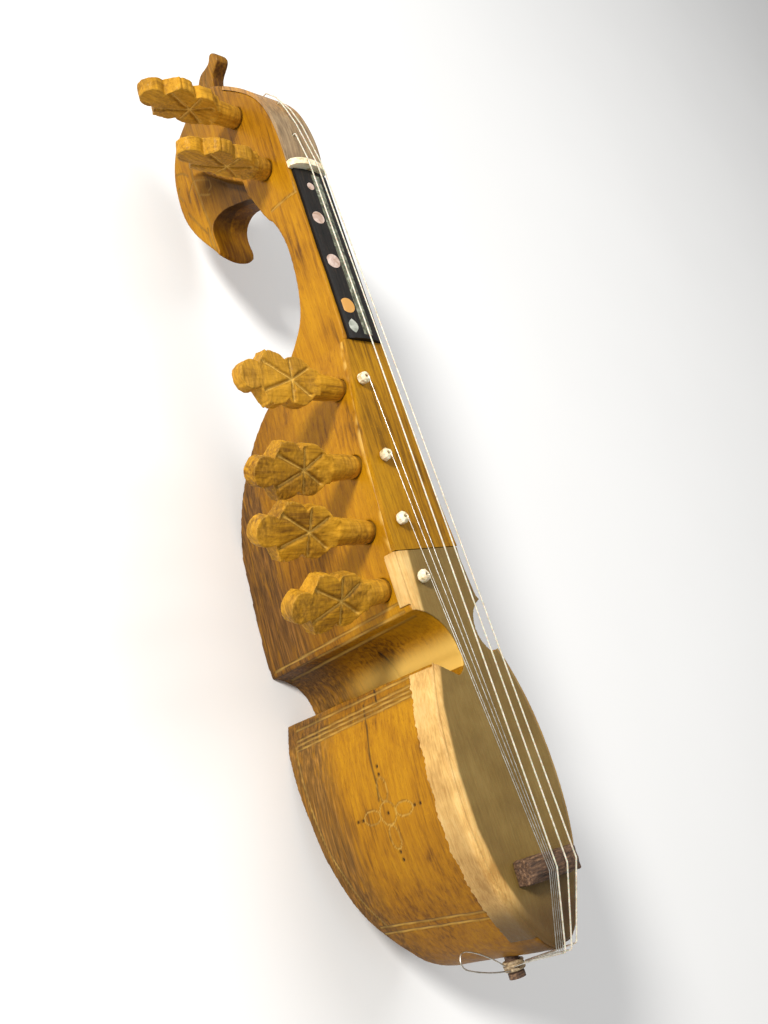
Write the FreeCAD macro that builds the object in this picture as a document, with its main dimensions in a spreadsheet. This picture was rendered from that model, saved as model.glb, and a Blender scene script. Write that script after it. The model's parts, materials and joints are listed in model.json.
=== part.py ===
"""Folk sarangi: a short-necked bowed fiddle carved from one block of wood.

The design is drawn with the front of the block at z = 0, the head end at +y, the player's left
at -x, and y = 0 at the shoulder of the lower box.  Every sub-part is then placed so that the
origin of the part is the middle of the flat back that the instrument lies on.
"""

import math
import os

import FreeCAD
import Part
import Sketcher

Vector = FreeCAD.Vector
X_AXIS = Vector(1, 0, 0)
Z_AXIS = Vector(0, 0, 1)

doc = FreeCAD.newDocument("FolkSarangi")

# ---------------------------------------------------------------- driving dimensions (mm)

DIMENSIONS = {
    # carved block
    "block_depth": 133.0,
    "rest_middle": 47.0,
    "tail_end": 161.0,
    "neck_half_width": 15.8,
    "chest_top": 201.0,
    "nut_line": 325.0,
    "wall": 5.0,
    "chest_cavity_depth": 78.0,
    "box_cavity_depth": 80.0,
    "pegbox_half_width": 8.0,
    "pegbox_cover_thickness": 2.5,
    "crest_half_width": 5.5,
    # skin, plate and fingerboard
    "skin_thickness": 0.9,
    "skin_seat": 1.0,
    "skin_edge": 64.0,
    "skin_band_box": 20.0,
    "skin_band_chest": 9.0,
    "plate_thickness": 3.0,
    "board_thickness": 3.5,
    "board_rise": 1.5,
    "inlay_depth": 0.6,
    "pearl_width": 7.5,
    # pegs
    "bearing_radius": 6.5,
    "shank_radius": 5.5,
    "tip_radius": 4.5,
    "running_clearance": 0.05,
    "socket_depth": 3.5,
    "paddle_thickness": 13.0,
    "collar_radius": 7.0,
    "side_collar_gap": 1.9,
    "head_collar_gap": 0.5,
    # nut, bridge, beads, tail pin
    "nut_thickness": 4.5,
    "nut_height": 8.0,
    "bridge_top": 13.3,
    "bridge_line": 119.5,
    "bead_radius": 3.7,
    "bead_height": 6.0,
    "bead_bore": 1.1,
    "pin_radius": 4.0,
    "pin_reach": 10.5,
    # strings
    "main_string_radius": 0.45,
    "thin_string_radius": 0.25,
    "string_gap": 0.15,
}

sheet = doc.addObject("Spreadsheet::Sheet", "Dims")
for row, (alias, value) in enumerate(DIMENSIONS.items(), start=1):
    sheet.set(f"A{row}", alias)
    sheet.set(f"B{row}", str(value))
    sheet.setAlias(f"B{row}", alias)
doc.recompute()


def dim(alias):
    """Value of one driving dimension, in mm."""
    return float(sheet.get(alias))


OFFSET = FreeCAD.Placement(Vector(0, -dim("rest_middle"), dim("block_depth")), FreeCAD.Rotation())

# Left-hand pegs of the sympathetic strings: y, z, x of the block's side there, paddle turn in degrees.
SIDE_PEGS = {
    "side_peg_1": (172.4, -13.5, -20.7, 10),
    "side_peg_2": (122.0, -14.5, -28.0, 31),
    "side_peg_3": (82.0, -17.0, -31.3, 31),
    "side_peg_4": (46.8, -18.0, -32.3, 33),
}
# Pegs of the playing strings: y, z, side (-1 left, +1 right), paddle turn, length outside the head.
HEAD_PEGS = {
    "head_peg_lower": (337.6, -19.5, -1, 106, 67.0),
    "head_peg_upper": (387.2, -30.0, -1, 98, 74.0),
    "head_peg_right": (400.0, -70.0, 1, 80, 64.0),
}
# x of the bead over each side peg
BEAD_X = {"side_peg_1": -14.5, "side_peg_2": -17.4, "side_peg_3": -21.2, "side_peg_4": -19.6}
# Playing strings: x at the nut, x at the bridge, x and y of the hole in the pegbox cover.
MAIN_STRINGS = {
    "main_string_left": (-4.5, -5.0, -3.5, 352.0),
    "main_string_middle": (2.5, 4.5, 1.5, 385.0),
    "main_string_right": (8.5, 13.0, 5.0, 403.0),
}
STRING_PEGS = {
    "main_string_left": "head_peg_lower",
    "main_string_middle": "head_peg_upper",
    "main_string_right": "head_peg_right",
}
# x where each thin string crosses the bridge
THIN_BRIDGE_X = {"side_peg_1": -6.8, "side_peg_2": -8.4, "side_peg_3": -10.0, "side_peg_4": -11.6}
TAIL_PIN = Vector(-3.0, -160.0, -38.0)

# ---------------------------------------------------------------- outlines shared by sub-parts

# Right and left edges of the lower box and chest, from the tail upwards.
BOX_RIGHT = [(10, -156.5), (25, -137), (35.5, -115), (41, -90), (42, -60), (37, -25), (28, 0)]
BOX_LEFT = [(-12, -157), (-27, -139), (-37.5, -117), (-43, -90), (-43, -60), (-38, -25), (-31, -1)]
CHEST_RIGHT = [(25, 30), (21, 68), (18.5, 100), (17, 135), (16, 168), (15.8, 201)]
CHEST_LEFT = [(-32.5, 29), (-32, 70), (-30, 95), (-28, 122), (-25, 147), (-20.7, 172.4), (-15.8, 201)]

# Side view of the block as (y, z), running from the nut over the head and down the back.
HEAD_FRONT = [(325, 0), (345, 2.8), (362, 1.5), (385, -5.3), (402, -17.8), (417, -33.5)]
HEAD_BACK = [(427.5, -60), (421, -81), (411, -96), (396, -105), (381, -108), (363.5, -108), (350, -104.5),
             (339, -99.5), (328.6, -93), (319.5, -86.5)]
HOOK_TIP = [(319.5, -86.5), (315.8, -84), (318, -82.6)]
HOOK_INSIDE = [(318, -82.6), (326, -82.8), (333, -83.2), (339, -81.5), (343, -77), (344.8, -71), (344, -64),
               (341.3, -57), (338, -49), (335, -44.3), (331, -40.6), (325, -38), (317, -35.3), (303, -27.5)]
NECK_BACK = [(303, -27.5), (287, -23), (267, -22.5), (250, -25), (235, -30), (225, -37.5), (215, -49),
             (195, -83)]
CHEST_BACK = [(195, -83), (171, -108.5), (141, -125), (112, -133)]
BOX_BACK = [(-20, -133), (-54, -125), (-90, -116), (-121, -106.5), (-146, -93)]
TAIL_CORNER = [(-146, -93), (-158, -85), (-161, -74)]


def vectors_xy(points):
    """Sketch points as vectors."""
    return [Vector(x, y, 0) for x, y in points]


def spline(points):
    """Smooth curve through sketch points."""
    curve = Part.BSplineCurve()
    curve.interpolate(vectors_xy(points))
    return curve


def three_point_arc(first, middle, last):
    """Arc of a circle through three sketch points, always stored anticlockwise."""
    circle = Part.Arc(*vectors_xy([first, middle, last])).toShape().Curve
    centre = circle.Center
    start, through, end = (math.atan2(y - centre.y, x - centre.x) for x, y in (first, middle, last))
    if (through - start) % math.tau > (end - start) % math.tau:
        start, end = end, start
    sweep = (end - start) % math.tau
    return Part.ArcOfCircle(Part.Circle(centre, Z_AXIS, circle.Radius), start, start + sweep)


def line(first, last):
    """Straight sketch edge."""
    return Part.LineSegment(*vectors_xy([first, last]))


def rectangle(low_x, low_y, high_x, high_y):
    """Four edges of a rectangle."""
    corners = [(low_x, low_y), (high_x, low_y), (high_x, high_y), (low_x, high_y)]
    return [line(corners[i], corners[(i + 1) % 4]) for i in range(4)]


def shifted(points, distance):
    """Points moved sideways by a distance, to the left of the direction they run in."""
    moved = []
    for i, (x, y) in enumerate(points):
        before = points[max(i - 1, 0)]
        after = points[min(i + 1, len(points) - 1)]
        along = Vector(after[0] - before[0], after[1] - before[1], 0).normalize()
        moved.append((x - along.y * distance, y + along.x * distance))
    return moved


def plan_outline(grow=0.0):
    """Front view of the block, as a closed run of curves: tail, right side, head, left side.

    Growing it pushes the sides of the box and the chest outwards, and leaves the waist alone.
    """
    head_top = 440.0
    tail = (-1, -dim("tail_end"))
    box_right = shifted([tail] + BOX_RIGHT, -grow)
    box_left = shifted([tail] + BOX_LEFT, grow)
    chest_right = shifted(CHEST_RIGHT, -grow)
    chest_left = shifted(CHEST_LEFT, grow)
    right_inner = (21.5, -2)
    left_inner = (-14, -11)
    joint = [line(box_left[0], box_right[0])] if grow else []
    return joint + [
        spline(box_right),
        line(box_right[-1], right_inner),
        three_point_arc(right_inner, (13, 12), chest_right[0]),
        spline(chest_right),
        line(chest_right[-1], (chest_right[-1][0], head_top)),
        line((chest_right[-1][0], head_top), (chest_left[-1][0], head_top)),
        line((chest_left[-1][0], head_top), chest_left[-1]),
        spline(chest_left[::-1]),
        three_point_arc(chest_left[0], (-14, 19.5), (-7, 3)),
        three_point_arc((-7, 3), (-7.5, -6.5), left_inner),
        line(left_inner, box_left[-1]),
        spline(box_left[::-1]),
    ]


def side_outline():
    """Side view of the block, as a closed run of curves in (y, z)."""
    cover = dim("pegbox_cover_thickness")
    front = shifted(HEAD_FRONT, -cover)
    step = (HEAD_FRONT[0][0] + 1.0, 0.0)
    head_start = (step[0], front[1][1] - 0.3)
    front_top = HEAD_FRONT[-1]
    return [
        line((-dim("tail_end"), 0), step),
        line(step, head_start),
        spline([head_start] + front[1:]),
        line(front[-1], front_top),
        spline([front_top] + HEAD_BACK),
        spline(HOOK_TIP),
        spline(HOOK_INSIDE),
        spline(NECK_BACK),
        spline(CHEST_BACK),
        line(CHEST_BACK[-1], BOX_BACK[0]),
        spline(BOX_BACK),
        spline(TAIL_CORNER),
        line(TAIL_CORNER[-1], (-dim("tail_end"), 0)),
    ]


# ---------------------------------------------------------------- PartDesign helpers


def new_body(name):
    """Body that carries a sub-part, in its place in the frame."""
    body = doc.addObject("PartDesign::Body", name)
    body.Label = name
    body.Placement = OFFSET
    return body


def new_sketch(body, name, role, lift=0.0):
    """Sketch on one of the body's own origin planes, lifted along the plane's normal."""
    plane = next(f for f in body.Origin.OriginFeatures if f.Role == role)
    sketch = body.newObject("Sketcher::SketchObject", name)
    sketch.AttachmentSupport = [(plane, "")]
    sketch.MapMode = "FlatFace"
    sketch.AttachmentOffset = FreeCAD.Placement(Vector(0, 0, lift), FreeCAD.Rotation())
    return sketch


def draw(sketch, curves):
    """Adds a closed run of curves, joined end to end."""
    first = sketch.GeometryCount
    sketch.addGeometry(curves, False)
    count = len(curves)
    for step in range(count):
        here = first + step
        following = first + (step + 1) % count
        pairs = [(a, b) for a in (1, 2) for b in (1, 2)]
        ends = min(
            pairs,
            key=lambda e: sketch.getPoint(here, e[0]).distanceToPoint(sketch.getPoint(following, e[1])))
        sketch.addConstraint(Sketcher.Constraint("Coincident", here, ends[0], following, ends[1]))


def draw_circle(sketch, centre, radius, expression=None):
    """Adds a circle whose place is fixed and whose radius follows the sheet."""
    index = sketch.addGeometry(Part.Circle(Vector(centre[0], centre[1], 0), Z_AXIS, radius), False)
    sketch.addConstraint(Sketcher.Constraint("DistanceX", -1, 1, index, 3, centre[0]))
    sketch.addConstraint(Sketcher.Constraint("DistanceY", -1, 1, index, 3, centre[1]))
    constraint = sketch.addConstraint(Sketcher.Constraint("Radius", index, radius))
    if expression:
        sketch.setExpression(f"Constraints[{constraint}]", expression)


def pad(body, name, sketch, length, reverse=False, middle=False):
    """Adds material; length is an expression of the sheet or a number."""
    feature = body.newObject("PartDesign::Pad", name)
    feature.Profile = sketch
    feature.Reversed = reverse
    feature.Midplane = middle
    set_length(feature, length)
    doc.recompute()
    return feature


def pocket(body, name, sketch, length, reverse=False, middle=False):
    """Removes material and checks that the solid lost volume."""
    before = body.Shape.Volume
    feature = body.newObject("PartDesign::Pocket", name)
    feature.Profile = sketch
    feature.Reversed = reverse
    feature.Midplane = middle
    set_length(feature, length)
    doc.recompute()
    if body.Shape.Volume >= before - 1e-3:
        raise RuntimeError(f"{name} removed nothing")
    return feature


def set_length(feature, length):
    """Length of a pad or pocket, as a number or as a formula of the sheet."""
    if isinstance(length, str):
        feature.setExpression("Length", length)
    else:
        feature.Length = length


# ---------------------------------------------------------------- carved block


def bore(body, peg):
    """Bearing hole through the near wall, and blind socket in the far one, along the peg's axis."""
    lean = math.degrees(math.atan2(peg.axis.y, abs(peg.axis.x))) * peg.side
    heading = FreeCAD.Rotation(Vector(0, 1, 0), lean)
    far = abs(peg.inside(-peg.side * (peg.far_wall + dim("socket_depth"))))
    near = abs(peg.inside(peg.side * 6.0))
    for kind, start, radius, alias, length in (
        ("Bore", near, 6.55, "bearing_radius", 60.0),
        ("Socket", far, 4.55, "tip_radius", 14.0),
    ):
        sketch = new_sketch(body, f"{kind}_{peg.name}", "YZ_Plane")
        spot = peg.point(-start)
        sketch.AttachmentOffset = FreeCAD.Placement(Vector(spot.y, spot.z, spot.x), heading)
        draw_circle(sketch, (0, 0), radius, f"Dims.{alias} + Dims.running_clearance")
        pocket(body, f"{kind}Cut_{peg.name}", sketch, length, reverse=(peg.side > 0))


def build_block():
    """One block of wood: outline, hollow box and chest, pegbox, seats and peg holes."""
    body = new_body("carved_body")

    plan = new_sketch(body, "PlanOutline", "XY_Plane")
    draw(plan, plan_outline())
    pad(body, "Block", plan, "Dims.block_depth", reverse=True)

    side = new_sketch(body, "SideOutline", "YZ_Plane")
    draw(side, rectangle(-200, -200, 470, 60))
    draw(side, side_outline())
    pocket(body, "SideShape", side, 200.0, middle=True)

    crest = new_sketch(body, "CrestOutline", "YZ_Plane")
    draw(crest, [
        line((415, -48), (412, -78)),
        line((412, -78), (424, -79)),
        spline([(424, -79), (437, -73), (446, -66), (451.5, -60.5), (452.5, -54), (454, -48.5), (458, -46),
                (455.5, -41), (449, -39.5), (445, -44), (441, -49), (433, -50.5), (425, -49)]),
        line((425, -49), (415, -48)),
    ])
    pad(body, "Crest", crest, "2 * Dims.crest_half_width", middle=True)

    box = new_sketch(body, "BoxCavity", "XY_Plane")
    draw(box, [
        three_point_arc((-30, -25), (-28, -10), (-12, -22)),
        line((-12, -22), (18, -14)),
        three_point_arc((18, -14), (28, -14), (31, -26)),
        spline([(31, -26), (34, -60), (31, -95), (20, -128), (0, -138)]),
        spline([(0, -138), (-20, -130), (-33, -98), (-36, -62), (-30, -25)]),
    ])
    pocket(body, "HollowBox", box, "Dims.box_cavity_depth")

    chest = new_sketch(body, "ChestCavity", "XY_Plane")
    far = CHEST_FAR_WALL
    draw(chest, [
        spline([(-26.5, 38), (-26, 68), (-25, 90), (-22.5, 122), (-19.5, 147), (-15.3, 173), (-12, 190)]),
        line((-12, 190), (far, 190)),
        line((far, 190), (far, 38)),
        line((far, 38), (-26.5, 38)),
    ])
    pocket(body, "HollowChest", chest, "Dims.chest_cavity_depth")

    slot = new_sketch(body, "PegboxSlot", "YZ_Plane")
    draw(slot, [
        line((331, 10), (331, -29)),
        line((331, -29), (346, -31)),
        spline([(346, -31), (354, -48), (363, -63), (378, -77), (395, -86)]),
        three_point_arc((395, -86), (408, -84), (411, -72)),
        spline([(411, -72), (411, -45), (405, -22)]),
        line((405, -22), (405, 10)),
        line((405, 10), (331, 10)),
    ])
    pocket(body, "PegboxSlotCut", slot, "2 * Dims.pegbox_half_width", middle=True)

    plate = new_sketch(body, "PlateSeat", "XY_Plane")
    draw(plate, rectangle(-60, dim("skin_edge"), 60, dim("chest_top")))
    pocket(body, "PlateSeatCut", plate, "Dims.plate_thickness")

    seat = new_sketch(body, "SkinSeat", "XY_Plane")
    draw(seat, rectangle(-60, -170, 60, dim("skin_edge")))
    pocket(body, "SkinSeatCut", seat, "Dims.skin_seat")

    board = new_sketch(body, "BoardSeat", "XY_Plane")
    draw(board, rectangle(-12.6, dim("chest_top"), 60, 326))
    pocket(body, "BoardSeatCut", board, "Dims.board_thickness - Dims.board_rise")

    for peg in pegs:
        bore(body, peg)

    pin = new_sketch(body, "PinHole", "XZ_Plane", lift=dim("tail_end") + 5)
    draw_circle(pin, (TAIL_PIN.x, TAIL_PIN.z), 4.05, "Dims.pin_radius + 0.05")
    pocket(body, "PinHoleCut", pin, 17.0)
    return body


# ---------------------------------------------------------------- skin, plate, cover and board


def plan_sketch(name, grow):
    """Sketch of the front outline, grown outwards."""
    sketch = doc.addObject("Sketcher::SketchObject", name)
    draw(sketch, plan_outline(grow))
    return sketch


def extrusion(name, base, low, high):
    """Solid between two heights over a closed outline."""
    solid = doc.addObject("Part::Extrusion", name)
    solid.Base = base
    solid.DirMode = "Custom"
    solid.Dir = Z_AXIS
    solid.LengthFwd = high
    solid.LengthRev = -low
    solid.Solid = True
    return solid


def boolean(kind, name, *shapes):
    """Part::Cut and Part::Common of two objects, Part::MultiFuse of several."""
    result = doc.addObject(f"Part::{kind}", name)
    if kind == "MultiFuse":
        result.Shapes = list(shapes)
    else:
        result.Base, result.Tool = shapes
    return result


def box(name, low, high):
    """Box between two corners."""
    solid = doc.addObject("Part::Box", name)
    solid.Length, solid.Width, solid.Height = (high[i] - low[i] for i in range(3))
    solid.Placement.Base = Vector(*low)
    return solid


def finish(result, name):
    """Names a boolean result and puts it in its place."""
    result.Label = name
    result.Placement = OFFSET
    return result


def build_skin():
    """Goat skin over the lower box and the foot of the chest, turned down over the sides."""
    outer = plan_sketch("SkinOuter", 0.1 + dim("skin_thickness"))
    inner = plan_sketch("SkinInner", 0.1)
    top = -dim("skin_thickness")
    low = -dim("skin_band_box")
    sheet_top = boolean(
        "Common", "SkinTop", extrusion("SkinTopSolid", outer, top, 0.0),
        box("SkinTopRange", (-60, -170, -5), (60, dim("skin_edge") - 0.1, 5)))
    ring = boolean(
        "Cut", "SkinRing",
        extrusion("SkinRingOuter", outer, low, top),
        extrusion("SkinRingInner", inner, low - 1, 1.0))
    ranges = boolean(
        "MultiFuse", "SkinBandRange",
        box("BandRangeBox", (-60, -150, low), (60, -3, 1)),
        box("BandRangeChest", (-60, 33, -dim("skin_band_chest")), (60, dim("skin_edge") - 0.1, 1)))
    band = boolean("Common", "SkinBand", ring, ranges)
    whole = boolean("MultiFuse", "SkinWhole", sheet_top, band)
    hole = doc.addObject("Part::Cylinder", "SkinStringHole")
    hole.Radius = dim("bead_bore")
    hole.Height = 6
    hole.Placement.Base = Vector(BEAD_X["side_peg_4"], SIDE_PEGS["side_peg_4"][0], -3)
    return finish(boolean("Cut", "SkinBelly", whole, hole), "skin_belly")


def build_plate():
    """Thin wooden top of the chest, with a hole under each bead."""
    gap = 0.1
    body = new_body("chest_plate")
    outline = new_sketch(body, "PlateOutline", "XY_Plane")
    draw(outline, plan_outline())
    pad(body, "Plate", outline, "Dims.plate_thickness - 0.1", reverse=True)
    for name, low, high in (
            ("PlateBelow", -200, dim("skin_edge") + gap),
            ("PlateAbove", dim("chest_top") - gap, 470)):
        trim = new_sketch(body, name, "XY_Plane", lift=1.0)
        draw(trim, rectangle(-60, low, 60, high))
        pocket(body, f"{name}Cut", trim, 10.0)
    for name in ("side_peg_1", "side_peg_2", "side_peg_3"):
        hole = new_sketch(body, f"Hole_{name}", "XY_Plane", lift=1.0)
        draw_circle(hole, (BEAD_X[name], SIDE_PEGS[name][0]), 1.1, "Dims.bead_bore")
        pocket(body, f"HoleCut_{name}", hole, 10.0)
    return body


def build_cover():
    """Thin curved board over the front of the pegbox, with a hole for each playing string."""
    body = new_body("pegbox_cover")
    inner = [(y, z) for y, z in shifted(HEAD_FRONT, 0.1 - dim("pegbox_cover_thickness"))]
    start = 330.2
    outline = new_sketch(body, "CoverOutline", "YZ_Plane")
    surface = [(start, 0.9)] + HEAD_FRONT[1:-1] + [(416.2, -32.6)]
    under = [(start, 0.15)] + inner[1:-1] + [(414.4, -34.3)]
    draw(outline, [
        spline(surface),
        line(surface[-1], under[-1]),
        spline(under[::-1]),
        line(under[0], surface[0]),
    ])
    pad(body, "Cover", outline, "2 * Dims.neck_half_width - 0.2", middle=True)
    for name, (_, _, x, y) in MAIN_STRINGS.items():
        hole = new_sketch(body, f"Hole_{name}", "XY_Plane", lift=10.0)
        draw_circle(hole, (x, y), 1.2)
        pocket(body, f"HoleCut_{name}", hole, 60.0)
    return body


BOARD_LEFT = -12.5
BOARD_RIGHT = 15.7
BOARD_Y = (201.1, 324.9)
PEARL_LEFT = -0.2
DOTS = [(-3.6, 312.0, 2.75), (-5.9, 288.0, 4.5), (-5.5, 256.0, 5.0), (-6.2, 224.0, 5.25)]
LEAF = [(-6.9, 214.6), (-3.4, 209.6), (-6.9, 204.6), (-10.4, 209.6)]


def arched_board(body, name):
    """Board blank: flat below, arched above, running along the neck."""
    bottom = 0.1 - (dim("board_thickness") - dim("board_rise"))
    section = new_sketch(body, f"{name}Section", "XZ_Plane", lift=-BOARD_Y[0])
    draw(section, [
        line((BOARD_LEFT, bottom), (BOARD_RIGHT, bottom)),
        line((BOARD_RIGHT, bottom), (BOARD_RIGHT, 1.0)),
        three_point_arc((BOARD_RIGHT, 1.0), (1.6, 3.0), (BOARD_LEFT, 1.3)),
        line((BOARD_LEFT, 1.3), (BOARD_LEFT, bottom)),
    ])
    pad(body, f"{name}Blank", section, BOARD_Y[1] - BOARD_Y[0], reverse=True)


def leaf_curves(points, shrink=0.0):
    """Pointed leaf with four curved sides."""
    (tx, ty), (rx, ry), (bx, by), (lx, ly) = points
    top, right, bottom, left = (tx, ty - shrink), (rx - shrink, ry), (bx, by + shrink), (lx + shrink, ly)
    return [spline([top, right, bottom]), spline([bottom, left, top])]


def pearl_rectangle(shrink=0.0):
    """Long strip of pearl beside the middle of the fingerboard."""
    return rectangle(PEARL_LEFT + shrink, BOARD_Y[0] + 3 + shrink,
                     PEARL_LEFT + dim("pearl_width") - shrink, BOARD_Y[1] - 3 - shrink)


def build_board():
    """Arched fingerboard with seats for its inlays."""
    body = new_body("fingerboard")
    arched_board(body, "Board")
    floor_z = 3.0 - 2 * dim("inlay_depth")
    pearl = new_sketch(body, "PearlSeat", "XY_Plane", lift=floor_z)
    draw(pearl, pearl_rectangle())
    pocket(body, "PearlSeatCut", pearl, 5.0, reverse=True)
    for number, (x, y, radius) in enumerate(DOTS, start=1):
        seat = new_sketch(body, f"DotSeat{number}", "XY_Plane", lift=floor_z)
        draw_circle(seat, (x, y), radius)
        pocket(body, f"DotSeatCut{number}", seat, 5.0, reverse=True)
    leaf = new_sketch(body, "LeafSeat", "XY_Plane", lift=floor_z)
    draw(leaf, leaf_curves(LEAF))
    pocket(body, "LeafSeatCut", leaf, 5.0, reverse=True)
    return body


def board_crown():
    """The board blank again, used to give every inlay the board's arched top."""
    body = new_body("crown_tool")
    arched_board(body, "Crown")
    body.Placement = FreeCAD.Placement()
    return body


def inlay(name, crown, outline_sketches):
    """Inlay with the board's own arched top, 0.05 mm clear of its seat."""
    bottom = 3.05 - 2 * dim("inlay_depth")
    plugs = [extrusion(f"{name}_plug{i}", s, bottom, 6.0) for i, s in enumerate(outline_sketches)]
    doc.recompute()
    plug = plugs[0] if len(plugs) == 1 else boolean("MultiFuse", f"{name}_plugs", *plugs)
    return finish(boolean("Common", f"{name}_inlay", crown, plug), name)


def loose_sketch(name, curves=None, circle=None):
    """Sketch outside any body, of curves or of one circle."""
    sketch = doc.addObject("Sketcher::SketchObject", name)
    if curves:
        draw(sketch, curves)
    if circle:
        draw_circle(sketch, circle[:2], circle[2])
    return sketch


def build_inlays():
    """Pearl strip, dots and leaf, each a little smaller than its seat."""
    crown = board_crown()
    gap = 0.05
    pearl = inlay("pearl_inlay", crown, [loose_sketch("PearlPlan", pearl_rectangle(gap))])
    dots = inlay("inlay_dots", crown, [
        loose_sketch(f"DotPlan{i}", circle=(x, y, r - gap)) for i, (x, y, r) in enumerate(DOTS)])
    leaf = inlay("inlay_leaf", crown, [loose_sketch("LeafPlan", leaf_curves(LEAF, 0.1))])
    return [pearl, dots, leaf]


# ---------------------------------------------------------------- nut, bridge, beads and tail pin


def build_nut():
    """Arched bone nut at the top of the fingerboard."""
    body = new_body("nut")
    section = new_sketch(body, "NutSection", "XZ_Plane", lift=-(dim("nut_line") + 0.2))
    left, right, foot = -15.7, 14.5, 0.1
    draw(section, [
        line((left, foot), (right, foot)),
        line((right, foot), (right, 2.0)),
        spline([(right, 2.0), (9, 6.7), (3, dim("nut_height") - 0.1), (-4, dim("nut_height")),
                (-11, 6.6), (left, 2.6)]),
        line((left, 2.6), (left, foot)),
    ])
    pad(body, "Nut", section, "Dims.nut_thickness", reverse=True)
    return body


def build_bridge():
    """Low, rough wooden bridge, a little askew on the skin."""
    body = new_body("bridge")
    left, right, top = -22.5, 22.0, dim("bridge_top")
    profile = new_sketch(body, "BridgeProfile", "YZ_Plane", lift=(left + right) / 2)
    corners = [(-6.5, 0.1), (6.5, 0.1), (7, 7.5), (4, 12.3), (1, top), (-1.5, top), (-6.5, 9.5)]
    draw(profile, [line(corners[i], corners[(i + 1) % len(corners)]) for i in range(len(corners))])
    pad(body, "BridgeBlock", profile, right - left, middle=True)
    crown = new_sketch(body, "BridgeCrown", "XZ_Plane")
    draw(crown, [
        spline([(left - 1, 11.2), (-14, top - 0.4), (-3, top), (8, top - 0.5), (22.5, 8.6)]),
        line((22.5, 8.6), (30, 8.6)),
        line((30, 8.6), (30, 30)),
        line((30, 30), (left - 1, 30)),
        line((left - 1, 30), (left - 1, 11.2)),
    ])
    pocket(body, "BridgeCrownCut", crown, 40.0, middle=True)
    turn = FreeCAD.Placement(Vector(0, -dim("bridge_line"), 0), FreeCAD.Rotation(Z_AXIS, -4))
    body.Placement = OFFSET.multiply(turn)
    return body


def build_bead(number, peg):
    """Faceted bead with a bore for the thin string."""
    y = SIDE_PEGS[peg][0]
    body = new_body(f"bead_{number}")
    ring = new_sketch(body, f"Bead{number}Outline", "XY_Plane", lift=0.1)
    corners = []
    for step in range(8):
        angle = math.tau * (step + 0.5) / 8 + number
        radius = dim("bead_radius")
        corners.append((BEAD_X[peg] + radius * math.cos(angle), y + radius * math.sin(angle)))
    draw(ring, [line(corners[i], corners[(i + 1) % 8]) for i in range(8)])
    block_pad = pad(body, f"Bead{number}Block", ring, "Dims.bead_height")
    rims = [f"Edge{i}" for i, e in enumerate(block_pad.Shape.Edges, start=1)
            if abs(e.Vertexes[0].Z - e.Vertexes[-1].Z) < 1e-6]
    facets = body.newObject("PartDesign::Chamfer", f"Bead{number}Facets")
    facets.Base = (block_pad, rims)
    facets.Size = 1.4
    doc.recompute()
    bore = new_sketch(body, f"Bead{number}Bore", "XY_Plane", lift=10.0)
    draw_circle(bore, (BEAD_X[peg], y), 1.1, "Dims.bead_bore")
    pocket(body, f"Bead{number}BoreCut", bore, 15.0)
    return body


def build_tail_pin():
    """Pin in the tail that holds every string."""
    body = new_body("tail_pin")
    start = dim("tail_end") - 11.8
    shaft = new_sketch(body, "PinShaft", "XZ_Plane", lift=start)
    draw_circle(shaft, (TAIL_PIN.x, TAIL_PIN.z), 4.0, "Dims.pin_radius")
    pad(body, "Shaft", shaft, "11.8 + Dims.pin_reach - 3")
    cap = new_sketch(body, "PinCap", "XZ_Plane", lift=dim("tail_end") + dim("pin_reach") - 3.0)
    draw_circle(cap, (TAIL_PIN.x, TAIL_PIN.z), 4.7)
    pad(body, "Cap", cap, 3.0)
    return body


KNOT_Y = (-163.2, -164.9, -166.6)
KNOT_MAJOR = 5.1
KNOT_MINOR = 1.0


def build_knots():
    """Three turns of gut round the tail pin."""
    turns = []
    for number, y in enumerate(KNOT_Y, start=1):
        ring = doc.addObject("Part::Torus", f"KnotTurn{number}")
        ring.Radius1 = KNOT_MAJOR
        ring.Radius2 = KNOT_MINOR
        ring.Placement = FreeCAD.Placement(Vector(TAIL_PIN.x, y, TAIL_PIN.z), FreeCAD.Rotation(X_AXIS, 90))
        turns.append(ring)
    return finish(boolean("MultiFuse", "Knots", *turns), "tail_knots")


# ---------------------------------------------------------------- pegs

PADDLE_LENGTH = 56.0
PADDLE_TILT = {"side_peg_1": 3.5, "side_peg_2": -2.5, "side_peg_3": 3.0, "side_peg_4": -3.0}
SIDE_REACH = {"side_peg_1": 76.0, "side_peg_2": 79.0, "side_peg_3": 83.0, "side_peg_4": 73.5}
CHEST_FAR_WALL = 9.0


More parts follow.
